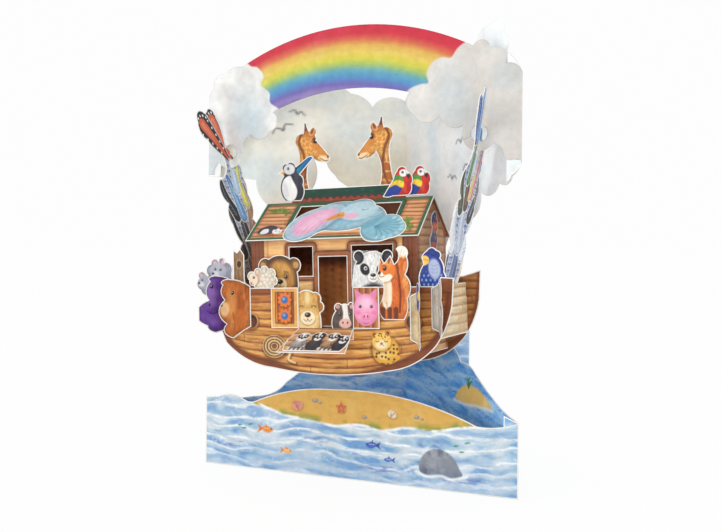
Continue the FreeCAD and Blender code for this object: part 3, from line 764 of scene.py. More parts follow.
def paintArch(f):
    # cloud puffs, then the rainbow: its colour goes by the share of the way between its two arcs
    u, v = f.u, f.v
    left = fall(-60, 10, u)
    f.fill((228, 224, 217))
    # painted light and shade: paler towards the left, darker towards the right
    f.lay(left * 0.9, (242, 243, 240))
    f.lay(step(20, 90, u) * 0.75, (208, 199, 188))
    for x, y, r in cloudPuffs:
        ball = f.oval(x, y, r, r * 0.92, 0, 1.6)
        under = step(-0.1, 1.1, np.hypot(u - x + 0.35 * r, v - y - 0.4 * r) / r)
        # painted highlight on the puff's upper left
        f.lay(ball * (1 - under) * 0.42, (250, 249, 246))
        # painted shade on the puff's underside
        f.lay(ball * under * 0.34, (206, 208, 208))
    f.cloud((204, 224, 232), 0.35, 26, 31, 0.1, 0.7, mask=left)
    f.dab((192, 214, 224), 0.6, -67, 199, 9, 15, 14, 15)
    f.dab((200, 224, 230), 0.5, -88, 180, 7, 11, 0, 11)
    f.dab((190, 205, 208), 0.5, 56, 205, 8, 15, 8, 13)
    f.dab((192, 204, 206), 0.4, 86, 216, 9, 9, 0, 9)
    f.cloud((198, 192, 188), 0.3, 18, 12, 0.1, 0.8)
    f.mottle(0.015, 4, 13)
    x0, z0, r0 = rainbow["innerArc"]
    x1, z1, r1 = rainbow["outerArc"]
    above = np.hypot(u - x0, v - z0) - r0
    below = r1 - np.hypot(u - x1, v - z1)
    t = np.clip(above / np.maximum(above + below, 1e-6), 0, 1)
    t = np.clip(t + 0.012 * wash(u, v, 9, 4), 0, 1)
    stops = np.array([s for s, _ in rainbow["colours"]])
    tones = np.array([c for _, c in rainbow["colours"]]) / 255
    bow = np.column_stack([np.interp(t, stops, tones[:, k]) for k in range(3)])
    bow *= (1 + 0.03 * wash(u, v, 3, 8))[:, None]
    bow += (1 - bow) * (0.08 * step(0.1, 0.9, wash(u, v, 14, 9)))[:, None]
    leftEdge = smoothLine(rainbow["leftEnd"])
    rightEdge = smoothLine(rainbow["rightEnd"])
    bowArea = f.patch(np.vstack((leftEdge, rightEdge, [(67, 262), (-74, 262)])).tolist(), 0.9, False)
    f.rgb += (bow - f.rgb) * bowArea[:, None]


def paintPaleSky(f):
    sky(f, (228, 232, 232), (206, 220, 228), (228, 224, 214), 6)


sand = {
    "top": ((-61, 38), (-35, 46), (-10, 52), (20, 50), (45, 44)),       # over the card's edge
    "foot": ((71, 34.5), (60, 33), (48, 30.5), (33, 31), (20, 28.6), (4, 30.2), (-10, 28.4), (-24, 30.5),
             (-38, 31.5), (-50, 34.5), (-61, 38)),
}


def shell(f, x, y, r, turn, colour):
    # scallop: a fan with ribs, and a painted shadow under it
    # painted shadow under the shell
    f.dab((120, 84, 40), 0.35, x + 0.3, y - 0.4, r * 1.1, r * 0.9, turn, 1)
    f.dab(colour, 1, x, y, r, r * 0.8, turn)
    a = radians(turn)
    for k in (-0.7, -0.35, 0, 0.35, 0.7):
        tip = (x + r * sin(k - a) * 0.95, y + r * 0.78 * cos(k - a))
        f.line((150, 84, 66), 0.6, [(x + 0.75 * r * sin(a), y - 0.75 * r * cos(a)), tip], 0.22, 0.2)


def starfish(f, x, y, r, turn, colour):
    # five arms, 72 degrees apart, each with a pale ridge, and a painted shadow under them
    # painted shadow under the starfish
    f.dab((110, 80, 40), 0.3, x + 0.4, y - 0.5, r * 0.8, soft=1)
    for k in range(5):
        a = radians(turn + 72 * k)
        f.line(colour, 1, [(x, y), (x + r * cos(a), y + r * sin(a))], r * 0.62, 0.3, 0.3)
    for k in range(5):
        a = radians(turn + 72 * k)
        f.line((252, 190, 150), 0.5, [(x, y), (x + 0.7 * r * cos(a), y + 0.7 * r * sin(a))], 0.25, 0.2)


def moved(points, x, y, size=1, way=1):
    # points given about 0, 0 as drawn at x, y: scaled, and mirrored where way is -1
    return [(x + a * size * way, y + b * size) for a, b in points]


def fish(f, x, y, size, way, body, dark):
    # small plain fish: an almond body, forked tail, one fin and an eye
    at = (x, y, size, way)
    f.area(body, 1, moved([(-1, 0.05), (-0.3, 0.5), (0.5, 0.3), (0.95, 0), (0.4, -0.42), (-0.4, -0.38)], *at))
    f.area(dark, 1, moved([(-0.8, 0), (-1.6, 0.6), (-1.3, 0), (-1.6, -0.55)], *at))
    f.line(dark, 1, moved([(-0.1, 0.35), (-0.3, 0.75)], *at), 0.9, 0.3, 0.2)
    f.line((255, 246, 214), 0.5, moved([(-0.5, 0.1), (0.3, 0.12)], *at), 0.5, 0.5)
    f.dab((24, 22, 30), 1, x + 0.6 * size * way, y + 0.1 * size, 0.35, soft=0.2)


def paintFrontSea(f):
    # brushed sea with froth, a sand hill with weeds along its foot, shells, fish and a rock
    u, v = f.u, f.v
    sea(f, "front", 21)
    froth = step(0.1, 0.6, wash(u + 1.4 * v, v, 5, 23)) * step(-0.1, 0.5, wash(u, v / 0.6, 1.3, 24))
    f.lay(froth * 0.55, (250, 252, 253))
    f.lay(fall(3, 20, v + 5 * noise(u, v, 25, 5)) * 0.35, (138, 172, 210))
    f.lay(step(20, 36, v) * 0.25, (226, 234, 241))
    for x, y, w in ((-74, 13, 10), (22, 8, 16), (64, 6, 12), (-22, 20, 9), (46, 23, 7)):
        f.lay(f.oval(x, y, w, 2, 6, 2.4) * step(-0.3, 0.6, wash(u / 4, v / 0.9, 1, int(x) + 90)) * 0.55,
              (72, 98, 176))
    beach = f.patch(sand["top"] + sand["foot"][:-1], 0.5)
    f.cover(beach, (222, 174, 86), (232, 194, 116), 0.5, 13, 41)
    f.cloud((196, 148, 66), 0.4, (9, 3), 43, 0.2, 0.8, mask=beach)
    rim = f.stroke(sand["foot"], 5.5, 3.5)
    f.cloud((140, 152, 62), 0.8, 7, 44, -0.45, 0.35, mask=beach * rim)
    f.lay(beach * f.stroke(sand["foot"], 2.6, 1.4) * 0.6 * step(-0.2, 0.5, wash(u, v, 4, 45)), (96, 124, 56))
    f.lay(f.stroke(sand["foot"], 1.5, 0.9) * step(-0.75, 0.1, wash(u, v, 6, 46)), (246, 249, 250))
    shell(f, -33, 38, 3.4, 15, (226, 150, 130))
    shell(f, 24, 37.5, 2.6, -25, (240, 222, 196))
    starfish(f, -6, 38.5, 3.6, 20, (206, 84, 56))
    for x, y, r in ((-22, 41.5, 1.8), (-19, 40.4, 1.2), (8, 34.5, 1.5), (38, 37, 1.6), (41, 36.2, 1.0)):
        f.dab((150, 138, 124), 1, x, y, r, r * 0.7, 0, 0.4)
        # painted highlight on the pebble's upper left
        f.dab((206, 198, 186), 0.7, x - 0.3, y + 0.3, r * 0.5, r * 0.3, 0, 0.4)
    fish(f, -52, 23, 4, 1, (236, 150, 66), (222, 112, 46))
    fish(f, -39, 12, 3, 1, (240, 176, 84), (224, 120, 50))
    fish(f, 12, 20, 3.6, -1, (70, 104, 190), (50, 72, 150))
    fish(f, 22, 13, 2.6, -1, (84, 120, 200), (50, 72, 150))
    for x, y in ((-70, 24), (-67, 22.5), (-63, 25), (60, 24), (66, 26), (63, 21)):
        f.dab((52, 132, 98), 0.8, x, y, 1.5, 0.45, 12)
    rock = f.patch([(41, 8), (40, 14), (44, 19.5), (51, 21.5), (58, 18), (62, 12), (63, 8), (52, 6.4)], 0.6)
    f.cover(rock, (136, 142, 152), (186, 190, 198), 0.6, 5, 51, -0.2, 0.7)
    f.cloud((88, 94, 108), 0.7, (3, 5), 53, 0, 0.8, mask=rock)
    f.lay(rock * fall(7, 13, v) * 0.45, (78, 92, 128))
    f.line((244, 248, 250), 0.9, [(38, 8.5), (44, 6.6), (52, 7.4), (58, 6.2), (66, 8.6)], 1.6, 1.2)


def paintPaleSea(f):
    sea(f, "frontBack", 27)


wall = {
    "horizon": 92, "haze": 26,
    # place, size and tilt of each gull
    "gulls": ((-88, 203, 4.2, 10), (-72, 196, 5.0, 26), (-64, 206, 3.4, -12), (74, 198, 5.0, 60),
              (60, 186, 3.8, 12), (68, 172, 4.4, 24), (52, 166, 3.4, -10), (46, 206, 3.0, 5)),
}


def gull(f, x, y, size, turn):
    # two thin wing arcs from one body
    c, s = cos(radians(turn)) * size, sin(radians(turn)) * size
    for side in (-1, 1):
        f.line((92, 94, 102), 0.8, [(x, y), (x + side * 0.6 * c - 0.5 * s, y + side * 0.6 * s + 0.5 * c),
                                    (x + side * 1.3 * c, y + side * 1.3 * s + 0.1 * c)], 1, 1.1, 0.6)
    f.dab((120, 120, 126), 0.6, x, y, size * 0.3, size * 0.14, turn, 0.6)


def paintRearWall(f):
    # sky over sea; u runs along the folded wall, away from the middle fold on both halves
    x, v = f.place[:, 0], f.v
    f.u = x * 1.22
    u = f.u
    right = step(-2, 8, x)
    # near-white base, made pale as painted light against the shade that falls inside the card
    f.fill((255, 252, 238))
    f.lay(right, (252, 254, 255))
    f.cloud((255, 248, 222), 0.4, 34, 61, 0, 0.8, mask=1 - right)
    f.cloud((242, 246, 248), 0.3, (21, 30), 66, 0, 0.8)
    f.cloud((226, 240, 248), 0.6, (14.4, 24), 67, 0.05, 0.7, mask=right)
    f.lay(0.4 * (1 - right) * f.oval(-22, 172, 26, 18, 0, 24), (247, 236, 200))
    f.dab((206, 228, 238), 0.5, -86, 168, 16, 12, 0, 16)
    f.dab((228, 238, 240), 0.45, -30, 190, 14, 22, 20, 22)
    f.line((210, 232, 244), 0.45, [(30, 196), (34, 176), (31, 158), (35, 140)], 10, 9)
    for x0, y0, r in ((-78, 214, 16), (-52, 226, 18), (-30, 205, 16), (-8, 218, 15), (14, 214, 14),
                      (38, 224, 16), (64, 214, 17), (86, 224, 15), (-66, 180, 18), (60, 182, 18)):
        ball = f.oval(x0, y0, r, r * 0.9, 0, 3)
        under = step(0.1, 1.15, np.hypot(u - x0 + 0.3 * r, v - y0 - 0.4 * r) / r)
        # painted shade on each cloud's underside
        f.lay(ball * under * 0.25, (218, 232, 240))
    f.mottle(0.012, 5, 63)
    for gx, gy, size, turn in wall["gulls"]:
        gull(f, gx, gy, size, turn)

    below = fall(wall["horizon"], wall["horizon"] + wall["haze"], v)
    skyColours = f.rgb.copy()
    sea(f, "rear", 71)
    f.lay((1 - right) * 0.3, (168, 206, 238))
    f.lay(right * 0.42, (84, 176, 255))
    strokes = wash(u / 7 + 0.07 * v, v / 1.1 + 0.25 * u, 1, 88)
    f.lay(0.5 * step(0.1, 0.6, strokes), (38, 112, 216))
    f.lay(0.5 * step(0.15, 0.6, -strokes), (206, 232, 252))
    crest = step(0.2, 0.7, wash(u / 0.8 + 0.9 * v, v, 10, 85)) * step(0, 0.6, wash(u, v / 0.5, 2.4, 86))
    f.lay(crest * 0.7 * step(30, 60, np.abs(u)), (246, 250, 252))
    f.keep(skyColours, below)
    isle = f.patch([(58, 43), (62, 49), (70, 52), (79, 50.5), (87, 46), (90, 42), (74, 40.5)], 0.6)
    f.cover(isle, (248, 206, 116), (252, 230, 164), 0.6, 5, 77)
    for dx, dy in ((-4, 4), (-1.5, 5.5), (1.5, 5), (4, 3)):
        f.line((58, 130, 66), 1, [(70, 50), (70 + dx * 0.5, 52 + dy * 0.7), (70 + dx, 50.5 + dy)], 1, 0.3,
               0.3)
    f.line((244, 248, 250), 0.9, [(56, 42), (66, 40.6), (78, 41.4), (92, 40.8)], 1.6, 1)
    stone = f.patch([(-44, 52), (-42, 59), (-36, 64), (-27, 65.5), (-18, 62), (-14, 55), (-14, 50),
                     (-30, 48)], 0.7)
    f.cover(stone, (72, 76, 160), (118, 124, 206), 0.6, 6, 79)
    f.line((232, 240, 248), 0.9, [(-48, 51), (-38, 48.5), (-26, 49.5), (-12, 48.5)], 1.8, 1.2)


def chooseRearWall(normal, middle):
    inner = normal[1] < -0.5 and abs(normal[0]) > 0.3
    return ("front", paintRearWall) if inner else ("back", paintWallBack)


def paintWallBack(f):
    sky(f, (232, 234, 232), (208, 220, 228), (230, 226, 214), 64)
    below = fall(wall["horizon"], wall["horizon"] + wall["haze"], f.v)
    skyColours = f.rgb.copy()
    sea(f, "rearBack", 75)
    f.keep(skyColours, below)


def paintStrut(f):
    sea(f, "strut", 81)
    f.light(1 + 0.05 * step(40, 92, f.v))


piece("front_arch", "frame", "sky_print", grids["front_arch"], frontAndBack(paintArch, paintPaleSky))
piece("front_sea", "frame", "sea_print", grids["front_sea"], frontAndBack(paintFrontSea, paintPaleSea))
piece("rear_wall", "frame", "wall_print", grids["rear_wall"], chooseRearWall)
piece("strut", "frame", "strut_print", grids["strut"], frontAndBack(paintStrut, paintStrut))
print("standing frame painted")


hull = {"portholes": ((-47, 27), (47, 27)), "coil": (-33.0, 13.5)}
railHeight = 45.0
keelCurve = ((-70, 52), (-68.5, 36), (-63, 15), (-50, 6.0), (-34.5, 2), (-18, -2.8), (0, -4.2), (18, -2.8),
             (34.5, 2), (47, 7.0), (59, 15), (65, 25), (68, 36), (70, 52))


def keelHeight(u):
    return np.interp(u, [p[0] for p in keelCurve], [p[1] for p in keelCurve])


def boardRise(u, v):
    # boards are straight at the rail and follow the keel at the bottom
    low = keelHeight(np.clip(u, -66, 66))
    return v - 0.55 * low * np.clip(1 - v / railHeight, 0, 1) ** 1.3


def paintHull(f):
    # boards with brown streaks, a dark rim along the keel and a dark rail
    u, v = f.u, f.v
    planks(f, u, boardRise(u, v), "hull", 101)
    f.cloud((228, 164, 84), 0.5, 24, 107, 0, 0.8)
    streak = wash(u / 11, boardRise(u, v) / 0.8, 1, 111)
    f.lay(0.5 * step(0.15, 0.7, streak), (132, 66, 30))
    f.lay(0.45 * step(0.15, 0.7, -streak), (255, 214, 138))
    f.lay(0.5 * step(30, 44, v), (150, 82, 44))
    # painted shade: darker towards both ends
    f.lay(0.45 * step(38, 69, np.abs(u)) * step(10, 40, v), (130, 70, 38))
    rim = f.stroke(keelCurve, 8, 2.2)
    f.lay(rim * 0.9, (112, 54, 28))
    f.line((146, 78, 42), 0.4, keelCurve, 4, 1.6)
    f.cloud((84, 40, 22), 0.35, (6, 2), 109, 0.1, 0.7, mask=rim)
    rail = step(railHeight - 3.2, railHeight - 2.6, v)
    f.lay(rail * 0.7, (138, 76, 42))
    f.lay(0.6 * fall(0.15, 0.5, np.abs(v - railHeight + 3.2)), (88, 44, 24))


def portholes(f):
    for x, y in hull["portholes"]:
        # painted shadow under the lower right of each porthole
        f.dab((80, 42, 24), 0.45, x + 0.5, y - 0.6, 4.9, soft=1.2)
        f.dab((168, 104, 56), 1, x, y, 4.6, soft=0.4)
        f.dab((66, 36, 26), 1, x, y, 3.5, soft=0.4)
        f.dab((128, 76, 46), 0.6, x, y - 0.7, 2.9, 2.4, 0, 1.2)
        # painted highlight: a light crescent on the upper right of the rim
        f.lay((f.oval(x, y, 4.4) - f.oval(x - 0.3, y - 0.4, 4.2, soft=0.5)) * 0.6, (244, 206, 150))


def ropeCoil(f):
    # a spiral of rope with a painted shadow under it: bright strands by angle, dark gaps by distance from its
    # middle, and a loose end with a painted shadow and a painted highlight
    x0, y0 = hull["coil"]
    a, b = f.u - x0, f.v - y0
    # painted shadow under the coil
    f.dab((78, 38, 20), 0.6, x0 + 0.6, y0 - 0.9, 8.2, 6.8, 0, 2)
    r = np.hypot(a / 1.18, b)
    turn = np.arctan2(b, a)
    rope = fall(5.9, 6.3, r) * step(1.2, 1.6, r)
    twist = np.cos(turn * 26 + r * 4)
    strand = 0.5 + 0.5 * np.cos(r * 2 * pi / 1.55 + 0.4)
    f.lay(rope, (232, 198, 142))
    f.lay(rope * 0.55 * step(0, 0.9, twist), (188, 136, 78))
    f.lay(rope * step(0.35, 0.9, 1 - strand) * 0.95, (92, 50, 28))
    tail = [(-27, 15), (-23.6, 10.6), (-24.6, 6.8), (-20.6, 5.0)]
    # painted shadow of the loose end
    f.line((78, 38, 20), 0.5, [(x + 0.4, y - 0.7) for x, y in tail], 2.4, 1)
    f.line((226, 188, 130), 1, tail, 1.7, 0.3, 1.3)
    # painted highlight along the loose end
    f.line((250, 228, 184), 0.6, tail, 0.5, 0.3)


def kitten(f):
    # a spotted kitten asleep, its head above its rolled-up body, with painted shadow and shade
    u, v = f.u, f.v
    # painted shadow under the kitten
    f.dab((78, 38, 20), 0.5, 31.5, 12.4, 8.4, 8, 0, 2)
    body = f.oval(31.8, 12.6, 7.4, 7.2, 0, 0.5)
    head = f.oval(29.6, 17, 5.3, 4.7, 8, 0.5)
    for x, y in ((25.6, 20.6), (33.0, 21.4)):
        f.dab((214, 140, 54), 1, x, y, 1.7, soft=0.4)
        f.dab((110, 60, 34), 1, x, y - 0.2, 0.9, soft=0.4)
    f.lay(body, (240, 184, 76))
    f.lay(body * f.oval(29, 11, 4.6, 4, 0, 4) * 0.6, (252, 224, 148))
    # painted shade towards the body's rim
    f.lay(body * step(5.6, 7.2, np.hypot(u - 31.8, v - 12.6)) * 0.5, (176, 108, 40))
    f.line((232, 170, 66), 1, [(38.4, 9), (34, 6.6), (28, 7.2), (25.4, 10.4)], 2.4, 0.5, 1.6)
    near, _ = cells(u, v, 2.5, 115)
    f.lay(body * fall(0.5, 0.8, near) * 0.9, (78, 44, 24))
    f.lay(head * 1, (246, 198, 96))
    # painted shadow of the head on the body
    f.lay((f.oval(29.6, 16.4, 5.9, 5.2, 8, 1) - head) * body * 0.5, (140, 80, 34))
    f.lay(head * f.oval(29.4, 15.4, 3.2, 2.2, 0, 1), (253, 234, 190))
    crown, _ = cells(u, v, 1.7, 119)
    f.lay(head * step(18, 19, v) * fall(0.35, 0.6, crown) * 0.85, (96, 54, 28))
    for x in (27.2, 31.9):
        shutEye(f, x, 17.2, 0.95)
    f.dab((190, 90, 76), 1, 29.5, 16.1, 0.75, 0.5, 0, 0.25)
    f.line((110, 62, 40), 0.8, [(28.3, 14.9), (29.5, 15.5), (30.7, 14.9)], 0.3, 0.2)


def paintHullFront(f):
    paintHull(f)
    portholes(f)
    ropeCoil(f)
    kitten(f)
    f.mottle(0.03, 3, 118)


def paintHullInner(f):
    u, v = f.u, f.v
    planks(f, u, boardRise(u, v), "hullInside", 121)
    f.light(0.95)
    f.line((122, 64, 36), 0.85, keelCurve, 9, 1.4)


def paintHullOuter(f):
    paintHull(f)
    f.mottle(0.03, 3, 128)


def paintDeck(f):
    rise = f.place[:, 1] if abs(f.normal[2]) > 0.9 else f.v
    planks(f, f.u, rise, "deck", 131)


cabin = {
    "half": 48.5,
    "windows": ((-25, -11, 51, 66.5), (12, 35, 45.5, 66.5)),     # x0, x1, z0, z1
    "door": (-7.5, 9, 24.5, 61),
    "rearWindow": (-8, 8, 50, 64),
    "frameWidth": 2.6, "frame": (146, 82, 48),
}


def boxDistance(u, v, x0, x1, y0, y1):
    # distance outside a rectangle, negative inside
    dx, dy = np.maximum(x0 - u, u - x1), np.maximum(y0 - v, v - y1)
    return np.where((dx > 0) & (dy > 0), np.hypot(np.maximum(dx, 0), np.maximum(dy, 0)), np.maximum(dx, dy))


def woodFrame(f, edges, width):
    # mitred frame round an opening: painted shadow on the wall just outside it, brown band, painted highlight
    # along its middle, dark outer line
    d = boxDistance(f.u, f.v, *edges)
    band = fall(width - 0.15, width + 0.15, d) * step(-0.1, 0.1, d)
    # painted shadow of the frame on the wall round it
    f.lay(0.5 * fall(width, width + 1.6, d) * step(width - 0.2, width, d), (120, 70, 40))
    f.cover(band, cabin["frame"], (176, 108, 68), 0.45, 3, 141, -0.2, 0.6)
    f.lay(band * fall(0.15, 0.45, np.abs(d - width + 0.3)) * 0.8, (72, 36, 22))
    # painted highlight along the middle of the frame
    f.lay(band * fall(0.1, 0.4, np.abs(d - width * 0.5)) * 0.35, (206, 150, 106))


def shutter(f, x, y, w, h):
    # closed pair of slatted shutters in a frame
    edges = (x - w / 2, x + w / 2, y - h / 2, y + h / 2)
    pane = fall(-0.1, 0.1, boxDistance(f.u, f.v, *edges))
    f.lay(pane, (62, 104, 84))
    slat = np.abs((f.v - y) / 1.5 - np.round((f.v - y) / 1.5))
    f.lay(pane * step(0.3, 0.45, slat) * 0.7, (28, 58, 48))
    f.lay(pane * fall(0.2, 0.5, np.abs(f.u - x)), (28, 58, 48))
    woodFrame(f, edges, 2.2)


def paintCabinWall(f):
    # boards, darker low down, with a post at each end
    u, v = f.u, f.v
    planks(f, u, v + 2, "cabin", 151)
    f.cloud((228, 160, 94), 0.35, (9, 2.4), 153, 0, 0.8)
    f.lay(0.55 * fall(26, 46, v), (176, 106, 56))
    # painted shade under the roof's eave
    f.lay(0.3 * step(63, 70, v), (170, 104, 60))
    post = step(cabin["half"] - 8, cabin["half"] - 7.5, np.abs(u))
    f.lay(post * 0.85, (118, 58, 36))
    f.cloud((160, 92, 60), 0.4, (1, 8), 157, -0.1, 0.6, mask=post)
    f.lay(0.7 * fall(0.15, 0.5, np.abs(np.abs(u) - cabin["half"] + 7.7)), (64, 30, 20))
    for x in (-3.5, 3.5):
        f.lay(post * fall(0.1, 0.35, np.abs(np.abs(u) - cabin["half"] + 3.8 + 0.3 * x)) * 0.5, (80, 40, 26))


def paintCabinFront(f):
    paintCabinWall(f)
    for edges in cabin["windows"]:
        woodFrame(f, edges, cabin["frameWidth"])
    woodFrame(f, cabin["door"], 3.4)


def paintCabinRear(f):
    paintCabinWall(f)
    woodFrame(f, cabin["rearWindow"], cabin["frameWidth"])
    for x in (-25, 25):
        shutter(f, x, 57, 16, 13)


def paintCabinEnd(f):
    u, v = f.u, f.v
    planks(f, u, v, "cabinEnd", 161)
    f.lay(0.6 * step(18.5, 19.2, np.abs(u)), (120, 62, 38))
    f.lay(0.35 * step(60, 92, v), (124, 66, 40))


def paintCabinInside(f):
    # upright boards on the walls that the windows show
    u, v = f.u, f.v
    planks(f, v, u, "cabinInside", 171)
    if f.normal[1] < 0:
        # the wall that the door and the windows show: painted light on the boards low down, a sack hung on
        # them, painted shade above
        f.lay(0.5 * fall(48, 60, v), (248, 172, 100))
        f.lay(0.75 * step(53, 60, v), (70, 36, 28))
        sack = f.patch([(-2, 27), (-4, 34), (-2, 41), (-4, 49), (1, 53), (6, 49), (5, 41), (8, 33), (5, 26)],
                       1.2)
        f.lay(sack * 0.85, (128, 66, 44))
        f.cloud((184, 104, 66), 0.5, (0.84, 2.8), 173, mask=sack)


def chooseCabin(normal, middle):
    outward = normal[0] * middle[0] + normal[1] * middle[1] > 0
    if not outward:
        return "inside", paintCabinInside
    if abs(normal[0]) > 0.5:
        return "end", paintCabinEnd
    return ("front", paintCabinFront) if normal[1] < 0 else ("back", paintCabinRear)


roof = {
    "skylight": (-27.0, 33.0, 13.0, 29.0),     # x0, x1 and distances up the slope
    "half": 50.5, "trim": (56, 98, 66), "trimSide": 2.4, "trimEave": 2.0, "trimLight": 3.0,
}


def leafSprig(f, points, size, seed):
    # a curved stem with paired leaves and a painted shadow under it
    line = smoothLine(points)
    # painted shadow under the sprig
    f.line((130, 70, 40), 0.4, [(x + 0.5, y - 0.6) for x, y in points], size * 1.2, 1.5)
    f.line((70, 110, 44), 1, points, 0.7, 0.3, 0.4)
    rng = np.random.default_rng(seed)
    for k in range(2, len(line) - 1, 3):
        x, y = line[k]
        way = atan2(line[k][1] - line[k - 1][1], line[k][0] - line[k - 1][0])
        for side in (-1, 1):
            a = way + side * rng.uniform(0.8, 1.15)
            cx, cy = x + size * 0.55 * cos(a), y + size * 0.55 * sin(a)
            leaf = f.oval(cx, cy, size * 0.62, size * 0.3, degrees(a))
            f.lay(leaf, (76, 122, 44) if rng.random() < 0.5 else (102, 148, 54))
            f.line((176, 200, 104), 0.7, [(x, y), (cx + 0.4 * size * cos(a), cy + 0.4 * size * sin(a))],
                   0.22, 0.2)


def paintRoofSlope(f):
    # shingle boards with green trim along the sides and the eave
    f.v = f.v - f.v.min()
    u, v = f.u, f.v
    planks(f, u, v + 0.35 * noise(u, v, 12, 3), "roof", 181)
    f.cloud((250, 206, 152), 0.35, (18, 6), 185, 0.1, 0.8)
    side, eave = roof["half"] - roof["trimSide"], roof["trimEave"]
    trim = np.maximum(step(side, side + 0.3, np.abs(u)), fall(eave, eave + 0.3, v))
    f.lay(0.4 * np.maximum(step(46.0, 48.3, np.abs(u)), fall(2.0, 4.2, v)), (150, 84, 50))
    f.cover(trim, roof["trim"], (92, 138, 92), 0.5, 2, 187)


def paintRoofFront(f):
    # the slope with its framed skylight (painted shade round the frame, a painted highlight along it), two
    # leaf sprigs and the dozing animal
    paintRoofSlope(f)
    u, v = f.u, f.v
    d = boxDistance(u, v, *roof["skylight"])
    band = fall(roof["trimLight"] - 0.15, roof["trimLight"] + 0.15, d)
    # painted shade round the skylight frame
    f.lay(0.45 * fall(3, 5, d), (120, 66, 40))
    f.cover(band, (38, 78, 56), (70, 116, 84), 0.5, 2, 189)
    # painted highlight along the middle of the frame
    f.lay(band * fall(0.1, 0.4, np.abs(d - 1.5)) * 0.4, (120, 160, 120))
    f.lay(0.7 * step(30.3, 31, v), (52, 92, 64))
    leafSprig(f, [(-46, 27), (-42, 25.5), (-38, 26.5), (-33, 23.5)], 2.6, 5)
    leafSprig(f, [(44.5, 4.5), (43, 8), (40.5, 10.5), (41.5, 14.5)], 2.4, 9)
    dozing(f, -38.5, 8.6)


def dozing(f, x, y):
    # a small black and white animal asleep on the boards, nose under its paw, with a painted shadow
    # painted shadow under the animal
    f.dab((130, 70, 40), 0.45, x + 0.4, y - 0.9, 8.2, 4.6, 8, 1.4)
    body = f.patch(moved([(-7.5, -1.5), (-6.2, 2.2), (-1.5, 4.2), (3, 3), (4.5, -0.6), (1, -3.4),
                          (-4, -3.6)], x, y), 0.4)
    f.cover(body, (62, 58, 70), (104, 100, 114), 0.5, (1.2, 0.4), 195, -0.1, 0.6)
    f.area((244, 240, 238), 1, moved([(-5.4, -2.6), (-4.6, 0.6), (-1.6, 1.2), (-0.4, -1.8), (-2.6, -3.2)], x,
            y), 0.5)
    f.dab((246, 242, 240), 1, x + 4.8, y - 1, 3.1, 2.5, -12, 0.4)
    for ear in ([(2.6, 0.2), (2.9, 2.4), (4.2, 1.1)], [(5.4, 1.0), (6.9, 2.0), (6.9, 0.2)]):
        f.area((70, 64, 76), 1, moved(ear, x, y))
    shutEye(f, x + 4.2, y - 0.7, 0.7)
    f.dab((196, 120, 126), 1, x + 6.6, y - 1.5, 0.45, 0.35, soft=0.2)


def paintRoofUnder(f):
    f.fill((158, 98, 58))
    f.mottle(0.08, 6, 197)


def chooseRoof(normal, middle):
    if normal[2] < 0:
        return "under", paintRoofUnder
    return ("front", paintRoofFront) if normal[1] < 0 else ("back", paintRoofSlope)


def paintFin(f):
    # dark green strip with a scalloped red edge: the edge's height is a cosine of u
    if abs(f.normal[2]) > 0.3:
        f.fill((40, 80, 58))
        f.mottle(0.12, 4, 203)
        return
    f.v = f.v - f.v.min()
    scallop = f.v + 0.6 * np.cos(f.u * 2 * pi / 4.2)
    f.fill((20, 62, 48))
    f.cloud((44, 100, 78), 0.6, (3, 0.5), 205)
    f.cloud((8, 34, 30), 0.5, (2, 0.4), 207, 0.3, 0.8)
    low = fall(1.8, 2.2, scallop)
    f.cover(low, (150, 58, 42), (196, 96, 66), 0.5, 2, 209)
    f.lay(0.7 * fall(0.15, 0.45, np.abs(scallop - 2.0)), (70, 24, 22))


def paintLeafLeft(f):
    # gate leaf: panelled wood with two round blossoms, each with a painted shadow and a painted highlight
    f.centre()
    u, v = f.u, f.v
    planks(f, v, u, "gateLeft", 211)
    d = -boxDistance(u, v, -7.75, 7.75, 0, 21.5)
    band = fall(2.3, 2.5, d)
    f.cover(band, (224, 164, 84), (244, 204, 132), 0.6, 3, 213)
    f.lay(0.7 * fall(0.1, 0.4, np.abs(d - 2.5)), (96, 44, 24))
    for y in (6.4, 15.0):
        # painted shadow under the blossom
        f.dab((84, 36, 20), 0.4, 0.4, y - 0.5, 4.4, soft=1)
        for k in range(9):
            a = 2 * pi * k / 9
            f.dab((236, 122, 44), 1, 2.5 * cos(a), y + 2.5 * sin(a), 1.6, 1, degrees(a))
        f.dab((70, 110, 168), 1, 0, y, 2)
        # painted highlight on the blossom's middle
        f.dab((150, 184, 222), 0.7, -0.4, y + 0.5, 0.9, soft=0.5)


